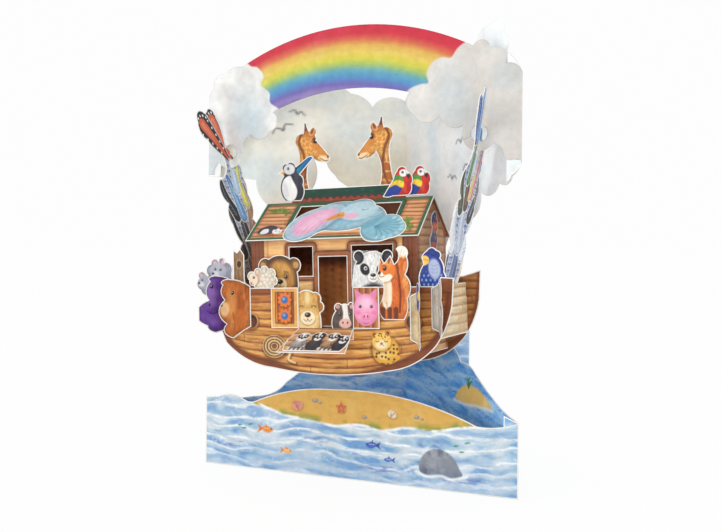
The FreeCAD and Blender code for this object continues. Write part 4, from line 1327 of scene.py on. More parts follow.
def paintLeafRight(f):
    # gate leaf: a round pink piglet's face, with painted shade round its rim and painted highlights
    f.centre()
    u, v = f.u, f.v
    planks(f, v, u, "gateRight", 221)
    ears = np.maximum(f.patch([(-6.6, 20.6), (-2.2, 17.8), (-5.6, 13.6)], 0.5, False),
                      f.patch([(6.6, 20.6), (2.2, 17.8), (5.6, 13.6)], 0.5, False))
    head = f.oval(0, 9.8, 7.2, 8.2, 0, 0.4)
    f.lay(np.maximum(head, ears), (244, 168, 200))
    f.lay(ears * (1 - head) * 0.6, (226, 112, 158))
    # painted shade towards the rim of the head
    f.lay(head * (1 - f.oval(-0.6, 10.8, 6, 7, 0, 4)) * 0.6, (222, 112, 160))
    # painted highlight on the forehead
    f.dab((254, 222, 234), 0.55, 0, 13.2, 3.2, 2.6, 0, 3)
    f.dab((236, 136, 176), 1, 0, 6.4, 3, 2.2, 0, 0.5)
    # painted highlight on the snout
    f.dab((252, 196, 218), 0.6, 0, 6.9, 2.2, 1.3, 0, 1)
    for s in (-1, 1):
        f.dab((168, 56, 96), 1, s * 1, 6.4, 0.5, 0.75)
        openEye(f, s * 3.3, 11.4, 0.72)
        f.dab((240, 104, 148), 0.6, s * 4.6, 8.2, 1.6, 1.1, 0, 1.4)
    f.line((168, 56, 96), 0.7, [(-1.6, 3.2), (0, 2.6), (1.6, 3.2)], 0.35, 0.2)


def paintLeafBack(f):
    planks(f, f.v, f.u, "gateBack", 225)


def paintRamp(f):
    planks(f, f.u, f.v - f.v.min() + 0.4, "ramp", 231)


def chooseRamp(normal, middle):
    return "top" if normal[2] > 0 else "under", paintRamp


piece("hull_front", "ark", "hull_print", grids["hull_front"], frontAndBack(paintHullFront, paintHullInner))
piece("hull_rear", "ark", "hull_print", grids["hull_rear"], frontAndBack(paintHullInner, paintHullOuter))
for name in ("deck_front_left", "deck_front_right", "deck_rear"):
    piece(name, "ark", "hull_print", grids["deck"], frontAndBack(paintDeck, paintDeck))
piece("cabin", "ark", "cabin_print", grids["cabin"], chooseCabin)
piece("roof", "ark", "roof_print", grids["roof"], chooseRoof)
piece("ridge_fin", "ark", "fin_print", grids["ridge_fin"], frontAndBack(paintFin, paintFin))
piece("gate_left", "ark", "gate_print", grids["gate"], frontAndBack(paintLeafLeft, paintLeafBack))
piece("gate_right", "ark", "gate_print", grids["gate"], frontAndBack(paintLeafRight, paintLeafBack))
piece("ramp", "ark", "ramp_print", grids["ramp"], chooseRamp)
print("ark painted")


# u runs from the middle of a figure, v from its foot
def coat(f, colour, dark, light, turn, seed, edgeShade=0.3):
    # flat colour, big soft patches of dark and light, hair streaks, and painted shade towards the cut edge
    f.fill(colour)
    f.cloud(light, 0.55, 7, seed)
    f.cloud(dark, 0.55, 6, seed + 3)
    fur(f, 0.13, turn, seed + 5)
    # painted shade towards the cut edge
    f.edgeShade(edgeShade, 1.6)


def snout(f, x, y, rx, ry, colour, nose, noseSize=0.45):
    # muzzle with painted shade round it, a nose with a painted highlight, the line under it and two smiling
    # corners
    # painted shade round the muzzle
    f.dab((90, 58, 36), 0.4, x, y - 0.3, rx * 1.08, ry * 1.1, 0, 0.9)
    f.dab(colour, 1, x, y, rx, ry, 0, 0.5)
    ny = y + ry * 0.42
    f.dab(nose, 1, x, ny, rx * noseSize, ry * 0.36, 0, 0.25)
    # painted highlight on the nose
    f.dab((236, 226, 220), 0.7, x - rx * 0.12, ny + ry * 0.12, rx * 0.16, ry * 0.1, 0, 0.2)
    f.line((60, 36, 28), 0.8, [(x, ny), (x, y - ry * 0.28)], 0.3, 0.2)
    f.line((60, 36, 28), 0.8, [(x - rx * 0.55, y - ry * 0.2), (x - rx * 0.22, y - ry * 0.5),
                               (x, y - ry * 0.26), (x + rx * 0.22, y - ry * 0.5),
                               (x + rx * 0.55, y - ry * 0.2)], 0.32, 0.2)


def roundEar(f, x, y, r, outer, inner):
    f.dab(outer, 1, x, y, r, soft=0.5)
    f.dab(inner, 1, x, y - r * 0.1, r * 0.58, soft=0.8)


def bearFace(f, front):
    coat(f, (104, 68, 38), (62, 38, 22), (140, 96, 54), 90, 301)
    if not front:
        return
    for s in (-1, 1):
        roundEar(f, s * 10, 18.3, 3, (120, 80, 44), (206, 154, 96))
    f.dab((190, 134, 66), 1, 0.3, 10.6, 9, 9.6, 0, 3.6)
    f.dab((224, 172, 92), 0.7, 0.3, 13.4, 5.4, 6.4, 0, 4)
    fur(f, 0.12, 90, 305)
    for s in (-1, 1):
        f.dab((122, 78, 40), 0.5, 0.3 + s * 3.7, 12, 2, 2.4, 0, 1.6)
        openEye(f, 0.3 + s * 3.7, 11.7, 0.85)
        f.line((96, 60, 32), 0.5, [(0.3 + s * 2.4, 14.6), (0.3 + s * 5, 14.2)], 0.7, 0.6)
    snout(f, 0.3, 7.6, 4.2, 3.6, (236, 204, 150), (52, 32, 26))


def dogFace(f, front):
    coat(f, (224, 174, 92), (182, 124, 56), (246, 212, 142), 90, 311, 0.25)
    for s in (-1, 1):
        f.area((176, 114, 54), 1, [(s * 6.6, 21.5), (s * 9.6, 20.5), (s * 10.6, 15), (s * 9.2, 11),
                                   (s * 7.4, 13.5)], 0.7)
        f.line((124, 74, 34), 0.6, [(s * 6.9, 20.6), (s * 7, 16), (s * 7.6, 12.8)], 0.6, 0.6)
    fur(f, 0.10, 90, 313)
    if not front:
        return
    f.dab((252, 232, 186), 0.7, 0.6, 20, 1.7, 4, 0, 2)
    f.dab((250, 226, 172), 0.7, 0.6, 7.6, 6.4, 6.2, 0, 3)
    for s in (-1, 1):
        shutEye(f, 0.6 + s * 3.7, 15, 1.5, 0.55)
        f.dab((232, 140, 96), 0.35, 0.6 + s * 4.4, 11.6, 1.6, 1.1, 0, 1.4)
    snout(f, 0.6, 9.4, 4.4, 3.7, (252, 232, 190), (58, 36, 30), 0.42)


def pandaFace(f, front):
    # white coat, black below a curve that rises towards the sides
    coat(f, (238, 236, 232), (200, 198, 200), (252, 250, 248), 90, 321, 0.2)
    for s in (-1, 1):
        roundEar(f, s * 8.7, 21.2, 3.7, (34, 32, 38), (64, 60, 68))
    f.lay(fall(6.2, 9.4, f.v + 0.06 * f.u ** 2), (38, 36, 42))
    fur(f, 0.10, 90, 323)
    if not front:
        return
    for s in (-1, 1):
        f.dab((34, 32, 38), 1, s * 4.6, 15, 2.5, 3.2, -s * 28, 0.5)
        f.dab((250, 248, 244), 1, s * 4.2, 15.5, 0.95, soft=0.25)
        f.dab((20, 18, 20), 1, s * 4.1, 15.4, 0.6, soft=0.2)
    snout(f, 0, 10.9, 3.1, 2.6, (250, 248, 244), (30, 28, 32), 0.5)


def sheepBody(f, front):
    # wool: curls are the cells round scattered points, with painted shade towards each curl's rim and where
    # two cells meet
    f.fill((242, 234, 216))
    near, far = cells(f.u, f.v, 2.1, 331)
    f.lay(0.5 * step(0.55, 1.3, near), (206, 190, 164))
    f.lay(0.5 * fall(0.1, 0.35, far - near), (190, 170, 144))
    # painted shade towards the cut edge
    f.edgeShade(0.25, 1.5)
    if not front:
        return
    # painted shade round the face
    f.dab((170, 140, 110), 0.6, -5.4, 9.4, 3.3, 3.9, 12, 1)
    f.dab((248, 226, 200), 1, -5.6, 9.7, 2.7, 3.4, 12, 0.5)
    f.dab((238, 196, 170), 1, -2.7, 11.7, 2, 0.9, -22, 0.4)
    f.dab((232, 158, 150), 1, -2.9, 11.7, 1.2, 0.5, -22, 0.4)
    openEye(f, -5.3, 10.6, 0.6)
    f.dab((196, 120, 108), 1, -6.9, 7.6, 0.7, 0.45, 20)
    f.line((120, 76, 60), 0.8, [(-7, 7), (-6.2, 6.5), (-5.4, 6.9)], 0.3, 0.2)


def foxBody(f, front):
    # sits facing left, its tail up on the right
    coat(f, (228, 114, 44), (188, 76, 26), (247, 160, 86), 75, 341, 0.25)
    f.line((252, 188, 116), 0.5, [(6.6, 6), (7.2, 13), (6.2, 21), (6.8, 29)], 2.4, 1.6)
    f.line((116, 46, 22), 0.85, [(3, 4), (3.6, 12), (3, 20), (2, 28.5)], 1.1, 0.7)
    f.dab((253, 244, 228), 1, 5.4, 35.4, 3.8, 3.6, 0, 1.6)
    f.line((250, 196, 140), 0.7, [(3.2, 31.4), (4.4, 32.8), (5.6, 31.2), (7, 32.6), (8.2, 31.2)], 0.7, 0.6)
    fur(f, 0.13, 80, 343)
    if not front:
        return
    f.area((253, 238, 212), 1, [(-5.6, 20.4), (-6.6, 14), (-6.2, 8), (-4, 5.4), (-1.6, 8), (-1, 14),
                                (-1.6, 20)], 0.9)
    f.area((226, 170, 120), 0.4, [(-5.4, 18), (-5.8, 13), (-5.2, 9), (-3.8, 8.4), (-3.4, 13), (-3.8, 18)],
           1.6)
    for x in (-6.0, -2.4, 1.0):
        f.line((92, 44, 28), 0.85, [(x, 5.4), (x, 0.6)], 2.6, 0.5, 2)
        f.line((140, 58, 24), 0.6, [(x - 1.5, 9), (x - 1.5, 1)], 0.4, 0.4)
    head = f.patch([(-8.4, 25.6), (-7.6, 29), (-4, 30.2), (0.2, 28.8), (1.2, 25), (-0.6, 21.4), (-4, 19.6),
                    (-7, 20.6)], 0.7)
    # painted shade round the head
    f.area((120, 48, 22), 0.35, [(-8, 25), (-7, 28.8), (-4, 30), (1, 28.6), (2, 24.4), (0.2, 20.4),
                                 (-4, 18.6), (-7, 19.6)], 1.6)
    f.lay(head, (238, 126, 50))
    f.lay(head * 0.5 * f.oval(-3.6, 28, 2.6, 2, 0, 2), (252, 176, 100))
    for x, lean in ((-7.4, 0.2), (-1.4, -0.3)):
        f.area((104, 46, 28), 0.9, [(x - 1.5, 28.8), (x + lean, 32.6), (x + 1.6, 28.8)], 0.4, False)
        f.area((244, 190, 150), 0.9, [(x - 0.7, 28.8), (x + lean, 31.2), (x + 0.9, 28.8)], 0.4, False)
    f.area((253, 242, 222), 1, [(-8.9, 24.2), (-6.6, 24.6), (-5, 22.8), (-2.2, 23.4), (-0.6, 22),
                                (-2.6, 19.8), (-6.4, 19.6), (-8.4, 21.6)], 0.6)
    f.dab((40, 26, 24), 1, -8, 24.2, 1.15, 0.95, -10, 0.25)
    f.line((90, 44, 30), 0.9, [(-8, 22.9), (-6.8, 21.9), (-5.2, 22.3)], 0.35, 0.25)
    openEye(f, -4.8, 26.2, 0.95)
    f.line((110, 50, 26), 0.8, [(-6.3, 27.4), (-4.8, 27.9), (-3.2, 27)], 0.45, 0.3)


def blueBirdBody(f, front):
    # rows of pale specks, each row half a step along
    f.fill((44, 62, 146))
    f.cloud((70, 96, 184), 0.5, 5, 351)
    f.cloud((26, 36, 100), 0.5, 5, 353, 0.1, 0.7)
    row = np.floor(f.v / 2.3)
    cu = (f.u + 1.15 * (row % 2)) / 2.3
    speck = np.hypot((cu - np.round(cu)) * 2.3, (f.v / 2.3 - row - 0.5) * 1.6)
    f.lay(fall(0.35, 0.6, speck) * fall(11.5, 13, f.v) * 0.85, (150, 196, 236))
    fur(f, 0.12, 90, 355)
    # painted shade towards the cut edge
    f.edgeShade(0.3, 1.3)
    if not front:
        return
    f.dab((186, 196, 224), 0.95, 1, 13.6, 3.2, 5.2, 8, 1.2)
    for y in (10.4, 12.2, 14.0, 15.8):
        f.line((110, 124, 176), 0.5, [(-0.8, y), (1, y - 0.8), (2.8, y)], 0.3, 0.3)
    f.area((246, 200, 88), 1, [(-5.9, 19.6), (-3.6, 20.4), (-1.8, 19), (-2.2, 16.4), (-4.9, 15.6)], 0.35)
    f.line((196, 116, 40), 1, [(-5.7, 18), (-4, 18.4), (-2.2, 17.8)], 0.35, 0.25)
    shutEye(f, 0.7, 20.8, 1.2)


def miceBody(f, front):
    coat(f, (160, 162, 176), (112, 112, 130), (198, 200, 212), 80, 361, 0.25)
    if not front:
        return
    f.dab((134, 134, 152), 0.5, 6.6, 6.4, 5.6, 6.4, 0, 2.4)
    f.line((92, 92, 110), 0.6, [(1.2, 8.8), (2.6, 4.4), (1.6, 0.6)], 0.8, 0.8)
    for x, y, r in ((0.4, 18.2, 2.2), (6.0, 18.6, 2.3)):
        roundEar(f, x, y, r, (138, 138, 154), (236, 176, 186))
    f.dab((184, 186, 198), 0.8, 2.4, 13.6, 5, 4.8, 0, 1)
    f.dab((224, 224, 230), 0.8, 0.6, 11.6, 2.5, 2, 0, 1)
    f.dab((60, 50, 66), 1, -0.9, 12.2, 0.9, 0.7)
    openEye(f, 0.6, 14.6, 0.62)
    openEye(f, 4, 14.3, 0.62)
    roundEar(f, -8.6, 11.6, 1.8, (140, 140, 156), (236, 176, 186))
    f.dab((180, 182, 194), 0.8, -7, 7.8, 4, 4, 0, 0.9)
    f.dab((222, 222, 228), 0.8, -8.8, 6.4, 1.9, 1.5, 0, 0.9)
    f.dab((60, 50, 66), 1, -10.1, 7, 0.75, 0.6)
    openEye(f, -8, 8.8, 0.55)
    for x, y in ((-1.2, 11.8), (-10.0, 6.4)):
        for k in (-0.5, 0.1, 0.7):
            f.line((250, 250, 250), 0.5, [(x + 0.6, y), (x + 3, y + k - 0.8)], 0.16, 0.15)


def trunkBody(f, front):
    f.fill((158, 120, 84))
    f.grain(0.28, 6, 0.5, 90, 371)
    f.cloud((96, 66, 44), 0.6, (0.5, 5), 373, 0.1, 0.6)
    f.cloud((206, 172, 132), 0.5, (0.6, 6), 375, 0.2, 0.7)
    # painted shade towards the cut edge
    f.edgeShade(0.3, 1.2)
    f.dab((62, 40, 28), 1, 0.2, 17.5, 1.3, 1.8, 0, 0.4)
    f.lay((f.oval(0.2, 17.5, 2, 2.6, 0, 0.5) - f.oval(0.2, 17.5, 1.5, 2, 0, 0.5)) * 0.7, (200, 164, 122))


def calfBody(f, front):
    coat(f, (92, 76, 70), (52, 42, 40), (130, 112, 102), 90, 381, 0.3)
    f.area((244, 238, 230), 1, [(-2.4, 17), (0.6, 17), (1.4, 11), (2.6, 6), (-1.8, 6), (-1.6, 12)], 0.8)
    if not front:
        return
    for s, x in ((-1, -4.8), (1, 3.6)):
        f.dab((214, 160, 150), 1, x, 15.4, 1.5, 1.2, s * 20, 0.6)
        openEye(f, -0.6 + s * 2.9, 11.4, 0.7)
    f.dab((232, 186, 174), 1, -0.5, 6.6, 3.5, 2.6, 0, 0.6)
    for s in (-1, 1):
        f.dab((110, 60, 58), 1, -0.5 + s * 1.3, 6.9, 0.45, 0.6)


def gooseBody(f, front):
    # a big pale-blue goose asleep on the roof: tail fan at the right, one wing drooping at the left, with
    # painted shade round the parts
    f.fill((166, 206, 220))
    f.cloud((206, 228, 236), 0.5, 12, 391)
    f.cloud((116, 176, 202), 0.5, 9, 393, 0.1, 0.8)
    fur(f, 0.10, 20, 395)
    # painted shade towards the cut edge
    f.edgeShade(0.30, 2.2)
    if not front:
        return
    wing = f.patch([(-34.5, 10), (-35, 20), (-29, 29), (-18, 33.5), (-8, 33), (-4.5, 27), (-9, 18),
                    (-14, 11), (-20, 5.5), (-28, 3)], 0.8)
    # painted shade round the wing
    f.area((84, 130, 160), 0.5, [(-34, 9), (-34, 20), (-28, 28), (-16, 33), (-5.5, 32.5), (-2, 25), (-7, 16),
                                 (-12, 9), (-20, 4)], 2.4)
    f.cover(wing, (178, 202, 216), (148, 178, 204), 0.6, (4, 1.6), 397, 0, 0.8)
    f.area((244, 176, 208), 0.92, [(-30.5, 11.5), (-30.5, 19), (-25, 26), (-16, 29.6), (-10, 29),
                                   (-9.6, 24.5), (-14, 16), (-21, 8.6), (-27, 7)], 2.4)
    f.area((252, 210, 230), 0.6, [(-26, 12), (-25, 19), (-19, 25), (-13.4, 26.6), (-14.6, 21), (-20, 13)],
           3.2)
    for k in range(7):
        x = -31 + 3.3 * k
        f.line((206, 112, 160), 0.55, [(x, 7.5 - 0.3 * k + 0.9 * max(k - 3, 0)), (x + 2.5, 13 + k),
                                       (x + 7, 20 + k)], 0.35, 0.4, 0.1)
    tailTop = [(19, 21.4), (28, 21), (34, 15), (34.6, 8), (30, 3.6), (24, 1.6), (17, 3), (12, 8), (10.5, 13)]
    tail = f.patch(tailTop, 0.8)
    # painted shadow under the tail fan
    f.area((70, 120, 146), 0.45, [(x + 0.3, y - 1) for x, y in tailTop], 2.4)
    f.lay(tail, (140, 192, 208))
    for k in range(9):
        a = radians(-98 + 21 * k)
        tip = (22.6 + 12.6 * cos(a), 11.6 + 10.4 * sin(a))
        f.lay(tail * f.stroke([(17.5, 12.5), ((17.5 + tip[0]) / 2 + 0.8, (12.5 + tip[1]) / 2 + 0.8), tip],
                              0.5, 0.6, 0.5) * 0.7, (70, 132, 160))
        f.lay(tail * f.oval(tip[0] - 1.8 * cos(a), tip[1] - 1.8 * sin(a), 1.6, 1, degrees(a), 0.8) * 0.6,
              (214, 236, 240))
    f.area((70, 132, 160), 0.3, [(9, 12), (14, 21), (19, 25), (15, 30), (20, 24), (18, 16), (12.6, 10.6)], 2)
    for k in range(6):
        y = 13.5 + 2.6 * k
        f.line((80, 150, 180), 0.45, [(9 + 0.6 * k, y), (13 + 0.6 * k, y - 0.6), (17, y + 1.2)], 0.35, 0.4)
    head = f.oval(4, 27, 11, 8.4, 6, 1.4)
    # painted shade round the head
    f.dab((90, 150, 176), 0.35, 4.2, 26, 11.6, 8.8, 6, 3)
    f.lay(head * 0.9, (190, 218, 228))
    f.cloud((214, 234, 240), 0.5, 5, 399, mask=head)
    f.dab((248, 184, 210), 0.85, 0.4, 22.6, 4.4, 2.8, -6, 2.4)
    shutEye(f, 7, 28.2, 2)
    beak = f.patch([(-5, 26.4), (-9.6, 24.2), (-13, 20.4), (-12, 19), (-7.4, 20.6), (-3.6, 21.6)], 0.5)
    f.lay(beak, (238, 160, 84))
    f.line((176, 96, 44), 0.8, [(-12.6, 19.9), (-8, 22.4), (-4.2, 23.4)], 0.4, 0.3)
    f.dab((150, 78, 40), 1, -7.2, 23.9, 0.7, 0.4, 30)


def gableBirds(f, front):
    # two small birds, one over the other: blue heads, red breasts
    f.fill((40, 52, 122))
    f.cloud((70, 92, 170), 0.5, 4, 401)
    f.area((224, 72, 38), 1, [(-3.4, 13.4), (-3.4, 10.4), (1, 8.4), (6, 9.6), (6.2, 13.6), (1.6, 14.6)], 0.7)
    f.dab((248, 140, 60), 0.8, 2.4, 12.4, 3, 1.1, 8, 0.9)
    f.area((214, 60, 36), 1, [(-6.2, 3.4), (-1.6, 4), (4.8, 3.2), (4, 0.2), (-4, 0.2)], 0.7)
    f.dab((54, 128, 90), 0.85, -3.6, 9, 1.8, 2.8, -20, 0.8)
    fur(f, 0.14, 80, 403)
    # painted shade towards the cut edge
    f.edgeShade(0.2, 1)
    if not front:
        return
    for x, y, r in ((2.2, 17.2, 0.8), (-0.4, 6.6, 0.8)):
        f.dab((120, 150, 214), 0.6, x, y, r * 1.7, soft=0.4)
        openEye(f, x, y, r)
        beak = [(1.8, 0.9), (4.2, -0.4), (2.6, -2.0), (1.6, -0.6)]
        f.area((240, 96, 44), 1, moved(beak, x, y), 0.3, False)


def giraffeBody(way):
    # way 1: snout to the left, -1: to the right
    def paint(f, front):
        f.u = f.u * way
        u, v = f.u, f.v
        f.fill((238, 182, 96))
        f.cloud((250, 212, 142), 0.5, 6, 411)
        near, far = cells(u + 0.4 * v, v, 4.6, 413)
        neck = fall(22, 29, v + 0.4 * np.abs(u + 6))
        patchy = step(0.45, 0.8, far - near) * neck
        f.lay(patchy * 0.92, (190, 98, 36))
        f.cloud((140, 66, 24), 0.5, 3, 415, mask=patchy)
        small, other = cells(u, v, 2.5, 417)
        cheek = step(0.35, 0.6, other - small) * step(-7, -2, u) * step(20, 27, v) * (1 - neck)
        f.lay(cheek * 0.6, (206, 118, 48))
        f.line((128, 64, 30), 0.85, [(8, 2), (3.4, 15), (4.2, 26), (7, 33), (4.6, 38.5)], 1.5, 0.9)
        f.dab((198, 110, 44), 0.75, -0.4, 37.4, 4.4, 2.6, 12, 2.4)
        fur(f, 0.12, 70, 419)
        # painted shade towards the cut edge
        f.edgeShade(0.3, 1.4)
        f.line((104, 56, 34), 0.9, [(2.7, 40), (2.6, 44)], 2.2, 0.8)
        if not front:
            return
        f.area((206, 122, 54), 0.6, [(-3.2, 33), (-9.6, 27.6), (-12.6, 24.4), (-10, 23.4), (-5, 26),
                                     (-1.6, 30)], 2)
        f.dab((253, 232, 190), 0.85, -9, 22.6, 3.6, 1.9, 18, 1.4)
        f.dab((66, 36, 26), 1, -11, 24, 0.5, 0.8, 20)
        f.line((110, 60, 36), 0.9, [(-11.6, 21.9), (-9, 21.8), (-6.4, 23.2)], 0.45, 0.25)
        f.area((226, 160, 100), 1, [(-2.8, 41.4), (-0.4, 40.2), (0.6, 37), (-1.4, 36.2), (-3, 38.4)], 0.6)
        f.area((112, 62, 40), 0.8, [(-2.3, 40.4), (-1, 39.6), (-0.4, 37.6), (-1.5, 37.2), (-2.4, 38.6)], 0.6)
        f.dab((160, 92, 42), 0.7, -3, 33.4, 2.1, 1.7, -20, 0.9)
        openEye(f, -3.3, 33.1, 1.15)
        f.line((66, 36, 26), 0.9, [(-5.4, 33.6), (-3.6, 35), (-1.6, 34.2)], 0.55, 0.3)
    return paint


def magpieBody(f, front):
    f.fill((44, 42, 52))
    f.cloud((84, 84, 100), 0.5, 4, 421, 0.1, 0.7)
    wing = f.patch([(0.4, 17.4), (5, 21.6), (9.4, 25.2), (12, 24.4), (7.6, 19.4), (3.2, 14.6)], 0.5)
    f.cover(wing, (28, 118, 178), (40, 172, 148), 0.7, 3, 423)
    for k in range(4):
        f.lay(wing * f.stroke([(1.6 + k, 16.4 + 0.4 * k), (6 + 1.4 * k, 20 + 1.2 * k)], 0.3, 0.3) * 0.6,
              (14, 62, 116))
    fur(f, 0.12, 80, 425)
    # painted shade towards the cut edge
    f.edgeShade(0.2, 1)
    f.area((244, 242, 240), 1, [(-8.2, 12), (-9, 6), (-6.2, 1), (-1.2, 1), (0.6, 6), (-2.2, 12), (-4, 14.6)],
           0.6)
    f.dab((196, 196, 206), 0.4, -6.8, 6, 1.6, 4.4, 6, 1.6)
    if not front:
        return
    f.dab((238, 238, 238), 0.9, -4.2, 18.2, 3.6, 3, 0, 0.6)
    f.area((230, 158, 60), 1, [(-11.4, 16.6), (-8.4, 18), (-7.4, 16.6), (-8.2, 15)])
    openEye(f, -4.9, 18.6, 0.7)


def redBirdBody(f, front):
    f.fill((206, 44, 36))
    f.cloud((232, 84, 56), 0.5, 4, 431)
    f.cloud((150, 24, 30), 0.4, 4, 433, 0.1, 0.7)
    f.area((40, 66, 158), 1, [(-8.9, 0.6), (-2.4, 9.6), (1.2, 10.2), (3.4, 7), (1, 2.2), (-3.2, 0.2)], 0.6)
    f.area((246, 206, 62), 1, [(-5.2, 5.4), (-2.4, 9.6), (1.4, 10.6), (3.8, 7.4), (2.6, 4.8), (-1.2, 6.6)],
           0.6)
    f.area((78, 150, 62), 1, [(-2.8, 8.8), (-1.6, 11.4), (2.2, 11.2), (3.6, 8.4), (0.8, 9.2)], 0.5)
    for k in range(5):
        f.line((20, 34, 100), 0.6, [(-7.6 + 1.9 * k, 1.2), (-4.4 + 1.6 * k, 5.2)], 0.3, 0.3)
    fur(f, 0.12, 60, 435)
    # painted shade towards the cut edge
    f.edgeShade(0.22, 1)
    if not front:
        return
    f.dab((248, 244, 238), 1, 3.4, 12.8, 2.3, 2, 0, 0.4)
    openEye(f, 3, 13.2, 0.62)
    f.area((52, 44, 50), 1, [(4.8, 13.8), (6.6, 13.2), (7.2, 10.8), (6.2, 9.6), (5.2, 11.4)])
    f.area((236, 226, 210), 1, [(4.8, 13.8), (6.2, 13.6), (6.5, 12.2), (5, 12.4)])


# middle of each head, coat, and whether it has a striped tail
family = ((-9.8, 12.0, (150, 146, 146), True), (-0.8, 12.4, (56, 54, 62), False),
          (7.6, 12.4, (156, 124, 96), True), (14.2, 10.2, (56, 54, 62), False))


def familyBody(f, front):
    # four small animals curled up on the ramp, heads towards the gate; drawn tall, because the ramp lies low
    u, v = f.u, f.v
    planks(f, u, v, "family", 441)
    for k, (x, y, main, tail) in enumerate(family):
        # dark and pale copies of the coat: pale colours the heads and a painted highlight on each body
        dark, pale = [tuple(int(c * t) for c in main) for t in (0.5, 1.45)]
        # painted shadow under each animal
        f.dab((96, 56, 34), 0.5, x + 0.2, 5, 5, 5.6, 0, 1.2)
        body = f.oval(x, 5.4, 4.5, 5.2, 0, 0.6)
        f.cover(body, main, dark, 0.7, (0.8, 1.8), 443 + k, 0, 0.5)
        # painted highlight on the body's upper left
        f.lay(body * f.oval(x - 1.4, 7.4, 2.2, 2.6, 0, 2.4) * 0.6, pale)
        if tail:
            f.line((232, 226, 218), 1, [(x - 4.2, 2.2), (x - 1, 0.9), (x + 3.6, 2), (x + 4.6, 5)], 2.2, 0.5,
                   1.4)
            for t in (-3.2, -0.8, 1.6, 3.8):
                f.line((40, 36, 42), 0.9, [(x + t, 0.2), (x + t + 0.3, 2.8)], 0.9, 0.4)
        for s in (-1, 1):
            f.dab(dark, 1, x + s * 2.7, y + 3.1, 1.2, 1.5, 0, 0.4)
        head = f.oval(x, y, 3.7, 4, 0, 0.4)
        f.lay(head, pale if tail else main)
        f.lay(head * fall(0.6, 1.1, np.abs(u - x)) * step(y - 0.6, y + 0.4, v), (244, 240, 234))
        f.dab((246, 242, 236), 1, x, y - 1.6, 2, 1.9, 0, 0.6)
        for s in (-1, 1):
            f.dab((34, 32, 38), 1, x + s * 1.75, y + 0.7, 1.25, 1.7, -s * 15, 0.4)
            f.dab((252, 250, 246), 1, x + s * 1.6, y + 0.9, 0.45, 0.6, 0, 0.2)
        f.dab((26, 22, 26), 1, x, y - 1, 0.75, 0.8, 0, 0.25)
    f.mottle(0.04, 3, 449)


def wingPaint(main, dark, light, details):
    # a figure folded on the hull: its narrow tab and the wing that stands out share one coat, and the
    # wing has its marks on both sides
    def paint(f, front):
        coat(f, main, dark, light, 85, 451 + main[0], 0.35)
        if f.u.max() - f.u.min() > 5:
            details(f)
    return paint


def hippoMarks(f):
    f.dab((176, 138, 214), 0.6, -2, 21, 3.2, 7.5, 10, 3)
    f.dab((150, 108, 200), 0.5, 1, 8, 5, 4, 0, 3)
    openEye(f, -1.6, 25.2, 0.9)
    f.line((60, 32, 96), 0.8, [(-4.6, 12), (-1, 10.6), (3, 12)], 0.6, 0.5)
    f.dab((56, 30, 88), 1, -3, 15.4, 0.6, 0.9)


def cubMarks(f):
    f.dab((240, 170, 98), 0.6, 0, 20, 3.4, 7, 0, 3)
    f.dab((250, 216, 166), 0.8, -4.4, 16, 2.8, 4, 0, 1.6)
    openEye(f, 0.6, 24.6, 0.85)
    f.dab((50, 30, 24), 1, -6.4, 18.2, 0.9, 0.8)
    f.line((130, 62, 26), 0.5, [(1, 3), (1.6, 9), (0.6, 14)], 0.7, 0.6)


def craneMarks(f):
    f.lay(step(19, 21.5, f.v), (44, 62, 150))
    f.cloud((84, 116, 206), 0.5, 3, 455, 0, 0.6, mask=step(19, 21.5, f.v))
    f.dab((250, 210, 84), 1, 1.6, 27.4, 3.6, 2.4, 12, 0.6)
    openEye(f, -1, 29, 0.75)
    for k in range(6):
        f.line((180, 128, 62), 0.6, [(-3.5, 3 + 2.8 * k), (0, 1.8 + 2.8 * k), (3.5, 3.4 + 2.8 * k)], 0.5, 0.4)


def hareMarks(f):
    f.line((240, 170, 176), 0.9, [(3.4, 19), (4.4, 26)], 2, 0.7, 1)
    f.line((240, 170, 176), 0.7, [(-1.4, 19), (-1.6, 24)], 1.6, 0.7, 0.8)
    f.dab((196, 182, 166), 0.6, 0, 6, 5, 5, 0, 2.4)
    openEye(f, 1, 14.6, 0.8)
    f.dab((226, 128, 140), 1, 3.8, 12, 0.9, 0.7)
    f.line((150, 130, 112), 0.4, [(0, 2.4), (1.6, 6), (0.8, 9.6)], 0.6, 0.6)


figures = {
    "bear": bearFace, "dog": dogFace, "panda": pandaFace, "sheep": sheepBody, "fox": foxBody,
    "blue_bird": blueBirdBody, "mice": miceBody, "trunk": trunkBody, "calf": calfBody, "goose": gooseBody,
    "gable_birds": gableBirds, "giraffe_left": giraffeBody(-1), "giraffe_right": giraffeBody(1),
    "magpie": magpieBody, "red_bird_front": redBirdBody, "red_bird_back": redBirdBody, "family": familyBody,
    "hippo": wingPaint((112, 70, 164), (70, 40, 118), (156, 116, 206), hippoMarks),
    "cub": wingPaint((206, 116, 52), (150, 70, 28), (238, 164, 96), cubMarks),
    "crane": wingPaint((236, 214, 168), (196, 158, 100), (250, 238, 208), craneMarks),
    "hare": wingPaint((226, 216, 200), (176, 160, 142), (246, 240, 230), hareMarks),
}


def chooseFigure(paint):
    def choose(normal, middle):
        facing = normal[1] < -0.05 or (abs(normal[1]) < 0.05 and normal[0] > 0)

        def painter(f):
            f.centre()
            paint(f, facing)
        return "front" if facing else "end" if abs(normal[0]) > 0.5 else "back", painter
    return choose


for name, paint in figures.items():
    piece(name, "ark", "figure_print", grids["figure"], chooseFigure(paint))
print("figures painted")
